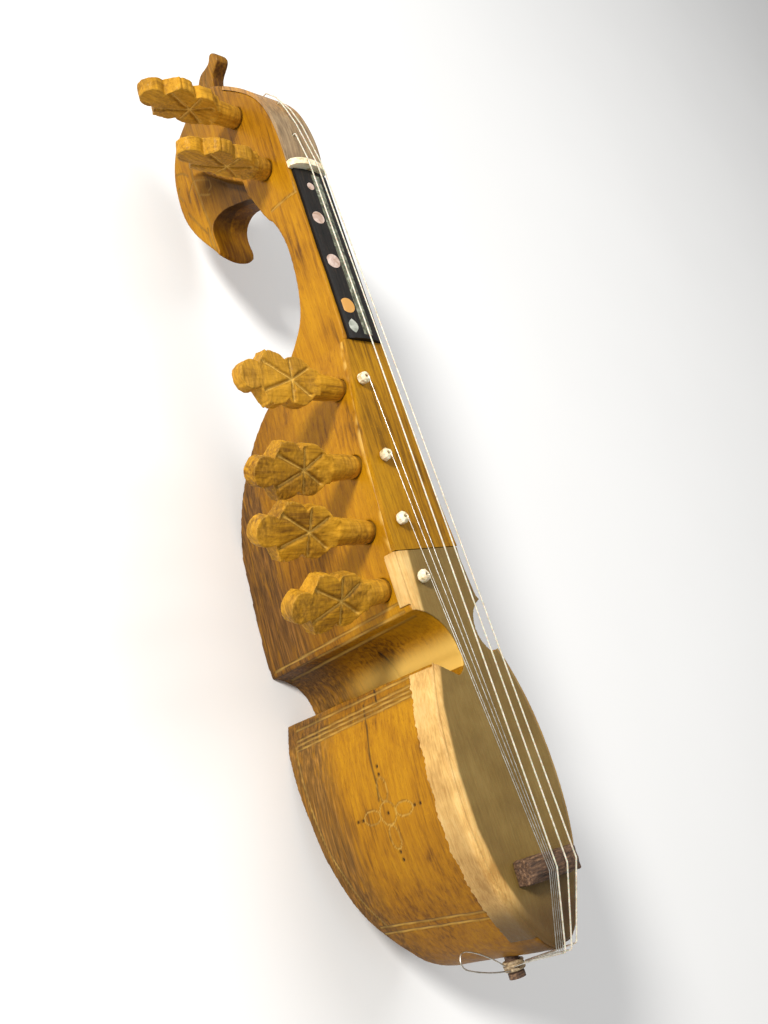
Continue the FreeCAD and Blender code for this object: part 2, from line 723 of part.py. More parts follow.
class Peg:
    """Where one peg sits: its point on the side of the block, and its axis pointing outwards."""

    def __init__(self, name):
        self.name = name
        if name in SIDE_PEGS:
            self.y, self.z, self.x, self.turn = SIDE_PEGS[name]
            self.side, self.reach = -1, SIDE_REACH[name]
            self.far_wall, self.near_wall = CHEST_FAR_WALL, dim("wall") + 0.2
            self.winding_x = BEAD_X[name]
        else:
            self.y, self.z, self.side, self.turn, self.reach = HEAD_PEGS[name]
            self.x = self.side * dim("neck_half_width")
            self.far_wall = dim("pegbox_half_width")
            self.near_wall = dim("neck_half_width") - dim("pegbox_half_width")
            string = next(s for s, peg in STRING_PEGS.items() if peg == name)
            self.winding_x = MAIN_STRINGS[string][2]
        self.tilt = math.radians(PADDLE_TILT.get(name, 0.0))
        self.axis = Vector(self.side * math.cos(self.tilt), math.sin(self.tilt), 0)

    def point(self, distance):
        """Point on the axis, at a distance outside the block's side (negative is inside)."""
        return Vector(self.x, self.y, self.z) + self.axis * distance

    def inside(self, x):
        """Axis distance of the point whose x is given."""
        return (x - self.x) / self.axis.x

    def placement(self):
        heading = math.degrees(math.atan2(self.axis.y, self.axis.x))
        turn = FreeCAD.Rotation(self.axis, -self.turn if self.side < 0 else self.turn)
        return FreeCAD.Placement(self.point(0), turn.multiply(FreeCAD.Rotation(Z_AXIS, heading)))

    def winding(self):
        """Axis distances of the two ends of the string wound on the shank."""
        middle = min(self.inside(self.winding_x), -(self.near_wall + 2.6))
        return middle - 2.1, middle + 2.1


def paddle_outline(start):
    """Flower-shaped paddle: two pairs of side lobes and a round end lobe."""
    upper = [[(0, 6.3), (4, 12), (9, 15.3), (15, 14), (20, 11.8)],
             [(20, 11.8), (25, 14.3), (31, 15.8), (35.5, 13.2), (37.5, 8.6)]]
    sides = [[(start + u, r) for u, r in run] for run in upper]
    mirrored = [[(u, -r) for u, r in run[::-1]] for run in sides[::-1]]
    tip = start + PADDLE_LENGTH
    return (
        [spline(run) for run in sides]
        + [three_point_arc(sides[1][-1], (tip, 0), mirrored[0][0])]
        + [spline(run) for run in mirrored]
        + [line(mirrored[1][-1], sides[0][0])]
    )


def star_petals(centre, inner=1.6, outer=10.5, half=0.7):
    """Six narrow petals around the middle of the paddle."""
    petals = []
    for step in range(6):
        angle = math.tau * step / 6
        along = (math.cos(angle), math.sin(angle))
        across = (-along[1], along[0])
        middle = (inner + outer) / 2
        corners = [(inner, 0), (middle, -half), (outer, 0), (middle, half)]
        spots = [(centre + along[0] * a + across[0] * b, along[1] * a + across[1] * b) for a, b in corners]
        petals.append([line(spots[i], spots[(i + 1) % 4]) for i in range(4)])
    return petals


def build_peg(peg):
    """Peg: flower-shaped paddle with an incised star, collar, bearing, shank and tip."""
    body = new_body(peg.name)
    start = peg.reach - PADDLE_LENGTH
    outline = new_sketch(body, f"{peg.name}_Paddle", "XY_Plane")
    draw(outline, paddle_outline(start))
    pad(body, f"{peg.name}_PaddlePad", outline, "Dims.paddle_thickness", middle=True)
    half = dim("paddle_thickness") / 2
    for name, lift, flip in (("StarFront", half - 0.6, True), ("StarBack", 0.6 - half, False)):
        star = new_sketch(body, f"{peg.name}_{name}", "XY_Plane", lift=lift)
        for petal in star_petals(start + 17.0):
            draw(star, petal)
        pocket(body, f"{peg.name}_{name}Cut", star, 3.0, reverse=flip)
    shank = new_sketch(body, f"{peg.name}_Shank", "XY_Plane")
    tip = peg.inside(-peg.side * (peg.far_wall + dim("socket_depth") - 0.4))
    shoulder = peg.inside(-peg.side * (peg.far_wall - 0.4))
    bearing, thin, end = dim("bearing_radius"), dim("shank_radius"), dim("tip_radius")
    collar = dim("collar_radius")
    gap = dim("side_collar_gap") if peg.name in SIDE_PEGS else dim("head_collar_gap")
    steps = [(tip, 0), (tip, end), (shoulder, end), (shoulder, thin), (-peg.near_wall, thin),
             (-peg.near_wall, bearing), (gap, bearing), (gap, collar), (start + 1.0, collar + 1.2),
             (start + 7.0, 5.0), (start + 7.0, 0)]
    draw(shank, [line(steps[i], steps[(i + 1) % len(steps)]) for i in range(len(steps))])
    turned = body.newObject("PartDesign::Revolution", f"{peg.name}_Turned")
    turned.Profile = shank
    turned.ReferenceAxis = (shank, ["H_Axis"])
    turned.Angle = 360.0
    doc.recompute()
    body.Placement = OFFSET.multiply(peg.placement())
    return body


def build_winding(peg):
    """Turns of string on a peg, as one sleeve."""
    low, high = peg.winding()
    body = new_body(f"winding_{peg.name}")
    ring = new_sketch(body, f"{peg.name}_Winding", "YZ_Plane", lift=low)
    draw_circle(ring, (0, 0), WINDING_RADIUS)
    pad(body, f"{peg.name}_WindingPad", ring, high - low)
    bore = new_sketch(body, f"{peg.name}_WindingBore", "YZ_Plane", lift=high + 1)
    draw_circle(bore, (0, 0), 5.55, "Dims.shank_radius + 0.05")
    pocket(body, f"{peg.name}_WindingBoreCut", bore, high - low + 2)
    body.Placement = OFFSET.multiply(peg.placement())
    return body


WINDING_RADIUS = 6.3

# ---------------------------------------------------------------- strings


def bent_path(points, largest):
    """Straight runs joined by tangent arcs; each arc is as large as its runs allow, up to a limit."""
    points = [Vector(*p) for p in points]
    edges = []
    here = points[0]
    for before, corner, after in zip(points, points[1:], points[2:]):
        inward = (corner - before).normalize()
        outward = (after - corner).normalize()
        turn = inward.getAngle(outward)
        if turn < math.radians(0.2):
            continue
        shorter = min((corner - before).Length, (after - corner).Length)
        radius = min(largest, 0.45 * shorter / math.tan(turn / 2))
        cut = radius * math.tan(turn / 2)
        first, last = corner - inward * cut, corner + outward * cut
        bulge = (first + last - corner * 2).normalize()
        middle = corner + bulge * (radius / math.cos(turn / 2) - radius)
        edges += [Part.makeLine(here, first), Part.Arc(first, middle, last).toShape()]
        here = last
    edges.append(Part.makeLine(here, points[-1]))
    return Part.Wire(edges)


def tube(name, points, radius, largest):
    """Round string or wire swept along its path."""
    path = doc.addObject("Part::Feature", f"{name}_path")
    path.Shape = bent_path(points, largest)
    start = Vector(*points[0])
    heading = (Vector(*points[1]) - start).normalize()
    profile = doc.addObject("Part::Circle", f"{name}_profile")
    profile.Radius = radius
    profile.Placement = FreeCAD.Placement(start, FreeCAD.Rotation(Z_AXIS, heading))
    sweep = doc.addObject("Part::Sweep", f"{name}_sweep")
    sweep.Sections = [profile]
    sweep.Spine = (path, [f"Edge{i + 1}" for i in range(len(path.Shape.Edges))])
    sweep.Solid = True
    sweep.Transition = "Right corner"
    doc.recompute()
    expected = math.pi * radius ** 2 * path.Shape.Length
    if abs(sweep.Shape.Volume - expected) > 0.02 * expected:
        raise RuntimeError(f"{name}: volume {sweep.Shape.Volume} against {expected}")
    return finish(sweep, name)


def tail_route(x_bridge, height, x_edge, angle, radius):
    """From the bridge over the tail edge to the knots on the tail pin."""
    edge_y = -dim("tail_end") + 0.033 * (x_edge + 1) ** 2 - 1.4 - radius
    swing = math.radians(angle)
    reach = KNOT_MAJOR + KNOT_MINOR + 0.2 + radius
    end = (TAIL_PIN.x + reach * math.sin(swing), KNOT_Y[1], TAIL_PIN.z + reach * math.cos(swing))
    return [(x_bridge, -dim("bridge_line") - 1.2, height), (x_edge, edge_y, 0.3 + radius), end]


# x where each string crosses the tail edge, and the angle round the tail pin where it ends
MAIN_TAIL = {"main_string_left": (-4.5, 10), "main_string_middle": (1.0, 30), "main_string_right": (6.5, 50)}
THIN_TAIL = {
    "side_peg_1": (-6.2, -8),
    "side_peg_2": (-7.7, -22),
    "side_peg_3": (-9.2, -36),
    "side_peg_4": (-10.7, -50),
}
# Route of each playing string over the cover, as (x, y, z), ending inside the pegbox.
HEAD_ROUTES = {
    "main_string_left": [(-3.5, 352.0, 4.6), (-3.5, 352.0, -3.0)],
    "main_string_middle": [(2.2, 362.0, 3.2), (1.8, 376.0, -0.4), (1.5, 385.0, -3.2), (1.5, 385.0, -12.0)],
    "main_string_right": [(7.4, 362.0, 3.2), (6.4, 378.0, -0.9), (5.4, 395.0, -9.0), (5.0, 403.0, -15.5),
                          (5.0, 403.0, -30.0)],
}


def build_main_string(name):
    """Playing string, from the tail pin over the bridge and nut into the pegbox."""
    x_nut, x_bridge, _, _ = MAIN_STRINGS[name]
    radius = dim("main_string_radius")
    peg = Peg(STRING_PEGS[name])
    last = Vector(*HEAD_ROUTES[name][-1])
    away = Vector(0, last.y - peg.y, last.z - peg.z).normalize()
    end = Vector(last.x, peg.y, peg.z) + away * (WINDING_RADIUS + 0.3 + radius)
    nut_z = 7.8 if x_nut > 5 else dim("nut_height") + 0.8
    nut_point = (x_nut, dim("nut_line") + dim("nut_thickness") / 2, nut_z)
    height = dim("bridge_top") + dim("string_gap") + 0.15 + radius
    points = [tuple(end)] + HEAD_ROUTES[name][::-1] + [nut_point]
    points += tail_route(x_bridge, height, *MAIN_TAIL[name], radius)
    return tube(name, points, radius, 1.6)


def build_thin_string(number, name):
    """Sympathetic string, from the tail pin over the bridge and through its bead."""
    radius = dim("thin_string_radius")
    peg = Peg(name)
    x, y = BEAD_X[name], peg.y
    lowest = peg.z + WINDING_RADIUS + 0.4
    over_bead = dim("bead_height") + 1.2
    height = dim("bridge_top") + dim("string_gap") + 0.15 + radius
    points = [(x, y, lowest), (x, y, over_bead)]
    points += tail_route(THIN_BRIDGE_X[name], height, *THIN_TAIL[name], radius)
    return tube(f"thin_string_{number}", points, radius, 1.2)


SPARE_LOOP = [
    (-9.4, -166.2, -36.0), (-20.6, -163.8, -35.0), (-33.8, -159.1, -35.4), (-44.6, -153.7, -36.0),
    (-41.0, -145.5, -36.5), (-29.8, -149.9, -37.0), (-18.0, -157.0, -37.5), (-9.4, -163.6, -38.5),
]
LOOP_RADIUS = 0.4
LARGEST_LOOP_ARC = 1000.0


# ---------------------------------------------------------------- whole instrument

pegs = [Peg(name) for name in list(SIDE_PEGS) + list(HEAD_PEGS)]
parts = [build_block(), build_skin(), build_plate(), build_cover(), build_board()]
parts += build_inlays()
parts += [build_nut(), build_bridge(), build_tail_pin(), build_knots()]
parts += [build_bead(i, name) for i, name in enumerate(SIDE_PEGS, start=1)]
parts += [build_peg(peg) for peg in pegs]
parts += [build_winding(peg) for peg in pegs]
parts += [build_main_string(name) for name in MAIN_STRINGS]
parts += [build_thin_string(i, name) for i, name in enumerate(SIDE_PEGS, start=1)]
parts.append(tube("spare_loop", SPARE_LOOP, LOOP_RADIUS, LARGEST_LOOP_ARC))

doc.recompute()
failed = [o.Name for o in doc.Objects if "Invalid" in o.State or "Error" in o.State]
if failed:
    raise RuntimeError(f"failed objects: {failed}")
for part in parts:
    if part.Shape.isNull() or not part.Shape.isValid():
        raise RuntimeError(f"bad shape: {part.Label}")

os.makedirs("parts", exist_ok=True)
for part in parts:
    part.Shape.exportStep(f"parts/{part.Label}.step")
    print(part.Label, len(part.Shape.Solids), round(part.Shape.Volume, 1))
loop_path = bent_path(SPARE_LOOP, LARGEST_LOOP_ARC)
loop_radii = [round(edge.Curve.Radius, 1) for edge in loop_path.Edges if hasattr(edge.Curve, "Radius")]
print("spare_loop radii", loop_radii, "length", round(loop_path.Length, 1),
      "section times length", round(math.pi * LOOP_RADIUS ** 2 * loop_path.Length, 1))
for peg in pegs:
    print(peg.name, [round(v, 3) for v in OFFSET.multVec(peg.point(0))], [round(v, 4) for v in peg.axis])
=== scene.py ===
"""Looks of the folk sarangi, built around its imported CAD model."""

import json
import math

import bpy
import numpy as np
from mathutils import Matrix, Vector, noise


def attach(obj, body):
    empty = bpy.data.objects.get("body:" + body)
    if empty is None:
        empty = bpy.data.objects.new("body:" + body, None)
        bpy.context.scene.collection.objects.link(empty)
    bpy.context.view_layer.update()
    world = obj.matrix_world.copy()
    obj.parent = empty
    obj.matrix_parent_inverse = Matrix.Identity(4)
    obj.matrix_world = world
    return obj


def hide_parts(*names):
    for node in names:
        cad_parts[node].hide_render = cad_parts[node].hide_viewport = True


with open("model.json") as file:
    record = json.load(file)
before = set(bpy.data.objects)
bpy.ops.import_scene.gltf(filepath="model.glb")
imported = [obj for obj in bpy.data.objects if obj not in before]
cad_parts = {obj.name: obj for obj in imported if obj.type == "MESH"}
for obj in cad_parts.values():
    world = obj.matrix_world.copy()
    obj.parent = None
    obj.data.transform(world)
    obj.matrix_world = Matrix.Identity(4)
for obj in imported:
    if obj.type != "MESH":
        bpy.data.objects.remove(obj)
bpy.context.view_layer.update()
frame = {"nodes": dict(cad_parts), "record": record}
INSTRUMENT = "instrument"
SIDE_PEGS = ["side_peg_1", "side_peg_2", "side_peg_3", "side_peg_4"]
HEAD_PEGS = ["head_peg_lower", "head_peg_upper", "head_peg_right"]
JOINTS = frame["record"]["behaviour"]["joints"]
AXIS = {joint["child"]: (Vector(joint["pos_m"]), Vector(joint["axis"])) for joint in JOINTS}

# The instrument was designed in millimetres with its front at z = 0 and the shoulder of the lower
# box at y = 0; the frame's origin is the middle of its flat back.
REST_MIDDLE = 47.0
DEPTH = 133.0


def at(x, y, z):
    """A design point, in millimetres, as a point of the frame."""
    return Vector((x / 1000, (y - REST_MIDDLE) / 1000, (z + DEPTH) / 1000))


def design(points):
    """Points of the frame, one a row, in design millimetres."""
    return points * 1000 + np.array([0.0, REST_MIDDLE, -DEPTH])


def frame_points(spots):
    """Design points, one a row in millimetres, as points of the frame."""
    return (spots - np.array([0.0, REST_MIDDLE, -DEPTH])) / 1000


# ---------------------------------------------------------------- camera

# Where the camera stands, in metres, the directions to its right and up, and its lens.
CAMERA_PLACE = (-0.4456, -0.1094, 0.5019)
CAMERA_RIGHT = (0.6924, -0.3011, 0.6557)
CAMERA_UP = (0.0226, 0.9174, 0.3974)
LENS_MM = 35.86


def make_camera():
    """The camera at the place and with the lens that show the object as first seen."""
    data = bpy.data.cameras.new("camera")
    data.sensor_fit = "VERTICAL"
    data.sensor_height = 36.0
    data.lens = LENS_MM
    data.clip_start = 0.01
    camera = bpy.data.objects.new("camera", data)
    right, up = Vector(CAMERA_RIGHT).normalized(), Vector(CAMERA_UP).normalized()
    back = right.cross(up).normalized()
    up = back.cross(right)
    turn = Matrix((right, up, back)).transposed().to_4x4()
    camera.matrix_world = Matrix.Translation(CAMERA_PLACE) @ turn
    bpy.context.scene.collection.objects.link(camera)
    bpy.context.scene.camera = camera


make_camera()

# ---------------------------------------------------------------- the spare wire loop, a free cord

SPARE_LOOP = [
    (-9.4, -166.2, -36.0), (-20.6, -163.8, -35.0), (-33.8, -159.1, -35.4), (-44.6, -153.7, -36.0),
    (-41.0, -145.5, -36.5), (-29.8, -149.9, -37.0), (-18.0, -157.0, -37.5), (-9.4, -163.6, -38.5),
]
LOOP_DIAMETER = 0.0008


def smooth_curve(name, points, radius):
    """A round wire along a smooth line through design points."""
    data = bpy.data.curves.new(name, "CURVE")
    data.dimensions = "3D"
    data.bevel_depth = radius
    data.bevel_resolution = 3
    data.resolution_u = 12
    data.use_fill_caps = True
    spline = data.splines.new("NURBS")
    spline.points.add(len(points) - 1)
    for spot, place in zip(spline.points, points):
        spot.co = (*at(*place), 1.0)
    spline.order_u = 3
    spline.use_endpoint_u = True
    piece = bpy.data.objects.new(name, data)
    bpy.context.collection.objects.link(piece)
    return piece


# Size of the even mesh, in metres, from which each carved piece is made.
BODY_VOXEL = 0.0008
PEG_VOXEL = 0.0006
SKIN_VOXEL = 0.0005
BRIDGE_VOXEL = 0.0006
BEAD_VOXEL = 0.0003

# ---------------------------------------------------------------- node materials


class Shader:
    """A material under construction, with short calls for the nodes that it is made of."""

    def __init__(self, name, roughness=0.5, specular=0.5, coat=0.0, coat_roughness=0.2, metallic=0.0,
                 subsurface=0.0):
        """A surface with its fixed values, and the object coordinates that its patterns use."""
        self.material = bpy.data.materials.new(name)
        self.material.use_nodes = True
        self.tree = self.material.node_tree
        self.tree.nodes.clear()
        out = self.tree.nodes.new("ShaderNodeOutputMaterial")
        self.surface = self.tree.nodes.new("ShaderNodeBsdfPrincipled")
        self.surface.inputs["Roughness"].default_value = roughness
        self.surface.inputs["Specular IOR Level"].default_value = specular
        self.surface.inputs["Coat Weight"].default_value = coat
        self.surface.inputs["Coat Roughness"].default_value = coat_roughness
        self.surface.inputs["Metallic"].default_value = metallic
        if subsurface:
            self.surface.inputs["Subsurface Weight"].default_value = subsurface
            self.surface.inputs["Subsurface Scale"].default_value = 0.002
        self.tree.links.new(self.surface.outputs[0], out.inputs[0])
        self.coordinates = self.tree.nodes.new("ShaderNodeTexCoord").outputs["Object"]

    def node(self, kind, inputs=(), **settings):
        """A new node with its settings and its inputs, which are values or sockets."""
        made = self.tree.nodes.new(kind)
        for key, value in settings.items():
            setattr(made, key, value)
        for key, value in dict(inputs).items():
            self.give(made.inputs[key], value)
        return made

    def give(self, socket, value):
        """Links a socket to an input, or sets the input's value."""
        if isinstance(value, bpy.types.NodeSocket):
            self.tree.links.new(value, socket)
        else:
            socket.default_value = value

    def stretched(self, scale, turn=(0, 0, 0)):
        """Object coordinates scaled along each axis, for grain that runs one way."""
        made = self.node("ShaderNodeMapping", {
            "Vector": self.coordinates, "Scale": scale, "Rotation": turn})
        return made.outputs[0]

    def noise(self, scale, detail=4.0, rough=0.55, vector=None, distortion=0.0):
        """Cloudy noise, about 0.5 on average."""
        made = self.node("ShaderNodeTexNoise", {
            "Vector": vector or self.coordinates, "Scale": scale, "Detail": detail, "Roughness": rough,
            "Distortion": distortion})
        return made.outputs["Fac"]

    def ramp(self, factor, stops):
        """Colour ramp from (position, colour) pairs."""
        made = self.node("ShaderNodeValToRGB", {"Fac": factor})
        ramp = made.color_ramp
        while len(ramp.elements) < len(stops):
            ramp.elements.new(0.5)
        for element, (position, colour) in zip(ramp.elements, stops):
            element.position = position
            element.color = (*colour, 1.0)
        return made.outputs[0]

    def between(self, factor, low, high):
        """0 below low, 1 above high, smooth in between."""
        made = self.node("ShaderNodeMapRange", {"Value": factor, "From Min": low, "From Max": high},
                         interpolation_type="SMOOTHSTEP")
        return made.outputs[0]

    def mix(self, factor, first, second, blend="MIX"):
        """The first colour, with the second laid over it by the factor."""
        made = self.node("ShaderNodeMix", data_type="RGBA", blend_type=blend)
        self.give(made.inputs[0], factor)
        for index, colour in ((6, first), (7, second)):
            value = colour if isinstance(colour, bpy.types.NodeSocket) else (*colour, 1.0)
            self.give(made.inputs[index], value)
        return made.outputs[2]

    def sum(self, first, second, operation="ADD"):
        """The sum of two values, or the result of another operation on them."""
        made = self.node("ShaderNodeMath", {0: first, 1: second}, operation=operation, use_clamp=False)
        return made.outputs[0]

    def mask(self, name):
        """A mask stored on the mesh, from 0 to 1."""
        return self.node("ShaderNodeAttribute", attribute_name=name).outputs["Fac"]

    def finish(self, colour, height=None, strength=0.3, distance=0.0005, roughness=None):
        """The finished material, with its colour, and its bump and roughness where they vary."""
        self.give(self.surface.inputs["Base Color"], colour)
        if roughness is not None:
            self.give(self.surface.inputs["Roughness"], roughness)
        if height is not None:
            bump = self.node("ShaderNodeBump", {
                "Height": height, "Strength": strength, "Distance": distance})
            self.give(self.surface.inputs["Normal"], bump.outputs[0])
        return self.material


def varnished_wood(name, bright, middle, dark, worn, grain=(60, 4, 60), coat=0.3, roughness=0.42):
    """Wood under amber varnish: fibres along the grain, cloudy blotches, wear, scratches and pores."""
    s = Shader(name, coat=coat, coat_roughness=0.22, specular=0.13)
    along = s.stretched(grain)
    fibres = s.noise(8.0, 6.0, 0.6, along, 0.4)
    fine = s.noise(34.0, 3.0, 0.7, along)
    clouds = s.noise(17.0, 3.0, 0.5)
    mottle = s.noise(420.0, 3.0, 0.65)
    tone = s.sum(s.sum(fibres, 0.5, "MULTIPLY"), s.sum(clouds, 0.5, "MULTIPLY"))
    colour = s.ramp(tone, [(0.36, dark), (0.47, middle), (0.60, bright)])
    glints = s.sum(s.between(mottle, 0.60, 0.78), 0.45, "MULTIPLY")
    colour = s.mix(glints, colour, tuple(min(1.0, c * 1.2) for c in bright))
    colour = s.mix(s.sum(s.between(fine, 0.54, 0.70), 0.5, "MULTIPLY"), colour, dark)
    streaks = s.between(s.noise(5.0, 6.0, 0.65, s.stretched((80, 7, 80))), 0.30, 0.62)
    wear = s.sum(s.mask("wear"), s.sum(0.35, s.sum(streaks, 1.1, "MULTIPLY")), "MULTIPLY")
    worn_tone = s.ramp(s.noise(7.0, 5.0, 0.6, s.stretched((90, 6, 90))), [
        (0.35, tuple(c * 0.55 for c in worn)), (0.52, worn), (0.68, tuple(c * 1.9 for c in worn))])
    wear = s.node("ShaderNodeClamp", {"Value": wear}).outputs[0]
    colour = s.mix(wear, colour, worn_tone)
    # Browned varnish and painted shade darken the colour: painted shade inside the hook, painted shadow
    # at the top of the waist, and partly painted shade at the back of the chest and the ends of the box.
    aged_and_shaded = s.sum(s.mask("age_and_shade"), s.sum(0.6, s.sum(streaks, 0.6, "MULTIPLY")), "MULTIPLY")
    aged_and_shaded = s.node("ShaderNodeClamp", {"Value": aged_and_shaded}).outputs[0]
    colour = s.mix(aged_and_shaded, colour, (0.34, 0.26, 0.30), "MULTIPLY")
    # The dark mask holds painted shade in the hollow of the hook and along incised lines, besides cracks,
    # dots and stains.
    colour = s.mix(s.mask("dark"), colour, (0.022, 0.010, 0.003))
    # The light mask holds painted light on the waist wall and the glow along incised lines, besides old
    # glue and scratches.
    colour = s.mix(s.mask("light"), colour, (0.74, 0.46, 0.10))
    height = s.sum(s.sum(fine, 0.5, "MULTIPLY"), s.sum(mottle, 0.35, "MULTIPLY"))
    rough = s.sum(roughness, s.sum(fibres, 0.25, "MULTIPLY"))
    return s.finish(colour, height, 0.35, 0.0004, rough)


def body_wood():
    """Amber varnished wood of the block."""
    return varnished_wood(
        "varnished_wood", (0.44, 0.200, 0.002), (0.335, 0.138, 0.001), (0.125, 0.045, 0.001),
        (0.19, 0.088, 0.014), coat=0.07)


def plate_wood():
    """Duller wood of the chest plate."""
    return varnished_wood("plate_wood", (0.47, 0.225, 0.005), (0.335, 0.150, 0.003), (0.11, 0.045, 0.002),
                          (0.10, 0.05, 0.02), coat=0.06)


def peg_wood():
    """Oiled wood of the pegs, its grain along the peg."""
    return varnished_wood("peg_wood", (0.66, 0.330, 0.022), (0.48, 0.225, 0.008), (0.18, 0.072, 0.004),
                          (0.25, 0.12, 0.014), grain=(4, 60, 60), coat=0.04, roughness=0.55)


def cover_wood():
    """Grey, weathered cover, turning amber towards the top of the head."""
    s = Shader("cover_wood", roughness=0.5, coat=0.2, coat_roughness=0.35)
    grain = s.noise(9.0, 5.0, 0.6, s.stretched((60, 5, 60)))
    grey = s.ramp(grain, [
        (0.3, (0.13, 0.080, 0.032)), (0.5, (0.27, 0.175, 0.085)), (0.72, (0.42, 0.29, 0.15))])
    amber = s.ramp(grain, [
        (0.3, (0.16, 0.066, 0.008)), (0.5, (0.36, 0.165, 0.020)), (0.72, (0.50, 0.25, 0.035))])
    along = s.node("ShaderNodeSeparateXYZ", {"Vector": s.coordinates}).outputs[1]
    colour = s.mix(s.between(along, 0.315, 0.345), grey, amber)
    return s.finish(colour, grain, 0.3)


def board_wood():
    """Nearly black wood of the fingerboard."""
    s = Shader("board_wood", roughness=0.5, specular=0.2, coat=0.1, coat_roughness=0.25)
    grain = s.noise(10.0, 5.0, 0.6, s.stretched((70, 6, 70)))
    colour = s.ramp(grain, [
        (0.3, (0.004, 0.004, 0.004)), (0.6, (0.014, 0.011, 0.009)), (0.8, (0.06, 0.038, 0.020))])
    return s.finish(colour, grain, 0.2)


# Fineness of the swirls in the pearl: the larger, the finer.
PEARL_SCALE = 120.0


def pearl(name, low, middle, high, lowest=None):
    """Swirling pearl; the stretch towards the chest may have a colour of its own."""
    s = Shader(name, roughness=0.25, coat=0.6, coat_roughness=0.1)
    swirl = s.noise(PEARL_SCALE, 4.0, 0.6, None, 1.6)
    colour = s.ramp(swirl, [(0.32, low), (0.5, middle), (0.66, high)])
    if lowest:
        along = s.node("ShaderNodeSeparateXYZ", {"Vector": s.coordinates}).outputs[1]
        colour = s.mix(s.between(along, 0.186, 0.184), colour, lowest)
    return s.finish(colour, swirl, 0.1, 0.0002)


def bone():
    """Cream bone with brown stains."""
    s = Shader("bone", roughness=0.45, subsurface=0.15)
    stain = s.noise(180.0, 4.0, 0.6)
    colour = s.ramp(stain, [
        (0.3, (0.48, 0.33, 0.14)), (0.46, (0.80, 0.70, 0.46)), (0.7, (0.92, 0.87, 0.70))])
    return s.finish(colour, s.noise(700.0), 0.25)


def hide():
    """Dried skin: cream at the turned-down sides, with a painted highlight along the front edge and
    painted shade lower down the sides, brown grey on the front, fibres and stains.
    """
    s = Shader("hide", roughness=0.55, specular=0.25, subsurface=0.04, coat=0.06, coat_roughness=0.4)
    fibres = s.noise(9.0, 6.0, 0.62, s.stretched((95, 9, 95)), 0.5)
    clouds = s.noise(34.0, 4.0, 0.55)
    tone = s.sum(s.sum(fibres, 0.4, "MULTIPLY"), s.sum(clouds, 0.6, "MULTIPLY"))
    front = s.ramp(tone, [
        (0.30, (0.155, 0.090, 0.020)), (0.5, (0.210, 0.130, 0.032)), (0.70, (0.270, 0.178, 0.052))])
    side = s.ramp(tone, [
        (0.36, (0.40, 0.21, 0.050)), (0.5, (0.65, 0.39, 0.120)), (0.64, (0.79, 0.54, 0.210))])
    # The side mask carries the cream turned-down sides and a painted highlight along the front edge.
    colour = s.mix(s.mask("side"), front, side)
    # The dark mask: stains towards the tail, and painted shade lower down the side band.
    colour = s.mix(s.mask("dark"), colour, (0.080, 0.040, 0.012))
    return s.finish(colour, s.sum(fibres, s.noise(500.0), "ADD"), 0.45, 0.0004)


def bridge_wood():
    """Rough dark wood with open grain."""
    s = Shader("bridge_wood", roughness=0.7)
    grain = s.noise(10.0, 6.0, 0.7, s.stretched((9, 60, 60)))
    colour = s.ramp(grain, [
        (0.3, (0.014, 0.007, 0.004)), (0.5, (0.095, 0.046, 0.022)), (0.7, (0.30, 0.17, 0.085))])
    return s.finish(colour, s.sum(grain, s.noise(300.0)), 0.8, 0.0009)


def gut():
    """Pale twisted gut of the playing strings."""
    s = Shader("gut", roughness=0.3, specular=0.6, subsurface=0.2)
    twist = s.noise(500.0, 2.0)
    return s.finish(s.ramp(twist, [(0.3, (0.48, 0.43, 0.31)), (0.7, (0.76, 0.72, 0.60))]), twist, 0.15)


def old_gut():
    """Browned gut of the knots."""
    s = Shader("old_gut", roughness=0.55)
    turns = s.noise(600.0, 3.0)
    return s.finish(s.ramp(turns, [(0.3, (0.12, 0.065, 0.03)), (0.7, (0.50, 0.38, 0.22))]), turns, 0.5)


def wire():
    """Grey wire of the thin strings."""
    s = Shader("wire", roughness=0.32, metallic=1.0)
    stain = s.noise(300.0, 3.0)
    return s.finish(s.ramp(stain, [(0.35, (0.42, 0.38, 0.30)), (0.65, (0.72, 0.70, 0.64))]))


def pale_floor():
    """Nearly white, dull floor."""
    s = Shader("pale_floor", roughness=0.9, specular=0.1)
    return s.finish(s.ramp(s.noise(3.0), [(0.3, (0.90, 0.90, 0.895)), (0.7, (0.92, 0.92, 0.915))]))


BODY_WOOD = body_wood()
PLATE_WOOD = plate_wood()
PEG_WOOD = peg_wood()
BONE = bone()
GUT = gut()
WIRE = wire()
HIDE = hide()
BRIDGE_WOOD = bridge_wood()


def dress(node, material):
    """Gives a CAD node, or a piece made here, its one material."""
    piece = frame["nodes"][node] if isinstance(node, str) else node
    piece.data.materials.clear()
    piece.data.materials.append(material)
    return piece


def soften(piece, width, segments=2):
    """Rounds the sharp edges of a CAD node's look."""
    bevel = piece.modifiers.new("edges", "BEVEL")
    bevel.width = width
    bevel.segments = segments
    bevel.limit_method = "ANGLE"
    bevel.angle_limit = math.radians(40)


# ---------------------------------------------------------------- carving


def coordinates(mesh):
    """The vertices of a mesh, one a row."""
    found = np.empty(len(mesh.vertices) * 3, np.float32)
    mesh.vertices.foreach_get("co", found)
    return found.reshape(-1, 3).astype(float)


def normals(mesh):
    """The unit normals of the vertices, one a row."""
    found = np.empty(len(mesh.vertices) * 3, np.float32)
    mesh.vertex_normals.foreach_get("vector", found)
    return found.reshape(-1, 3).astype(float)


def set_coordinates(mesh, points):
    """Moves the vertices of a mesh to the given points."""
    mesh.vertices.foreach_set("co", points.astype(np.float32).ravel())
    mesh.update()


def store_mask(mesh, name, values):
    """Keeps a value from 0 to 1 on each vertex, for the materials."""
    mask = mesh.attributes.new(name, "FLOAT", "POINT")
    mask.data.foreach_set("value", np.clip(values, 0, 1).astype(np.float32))


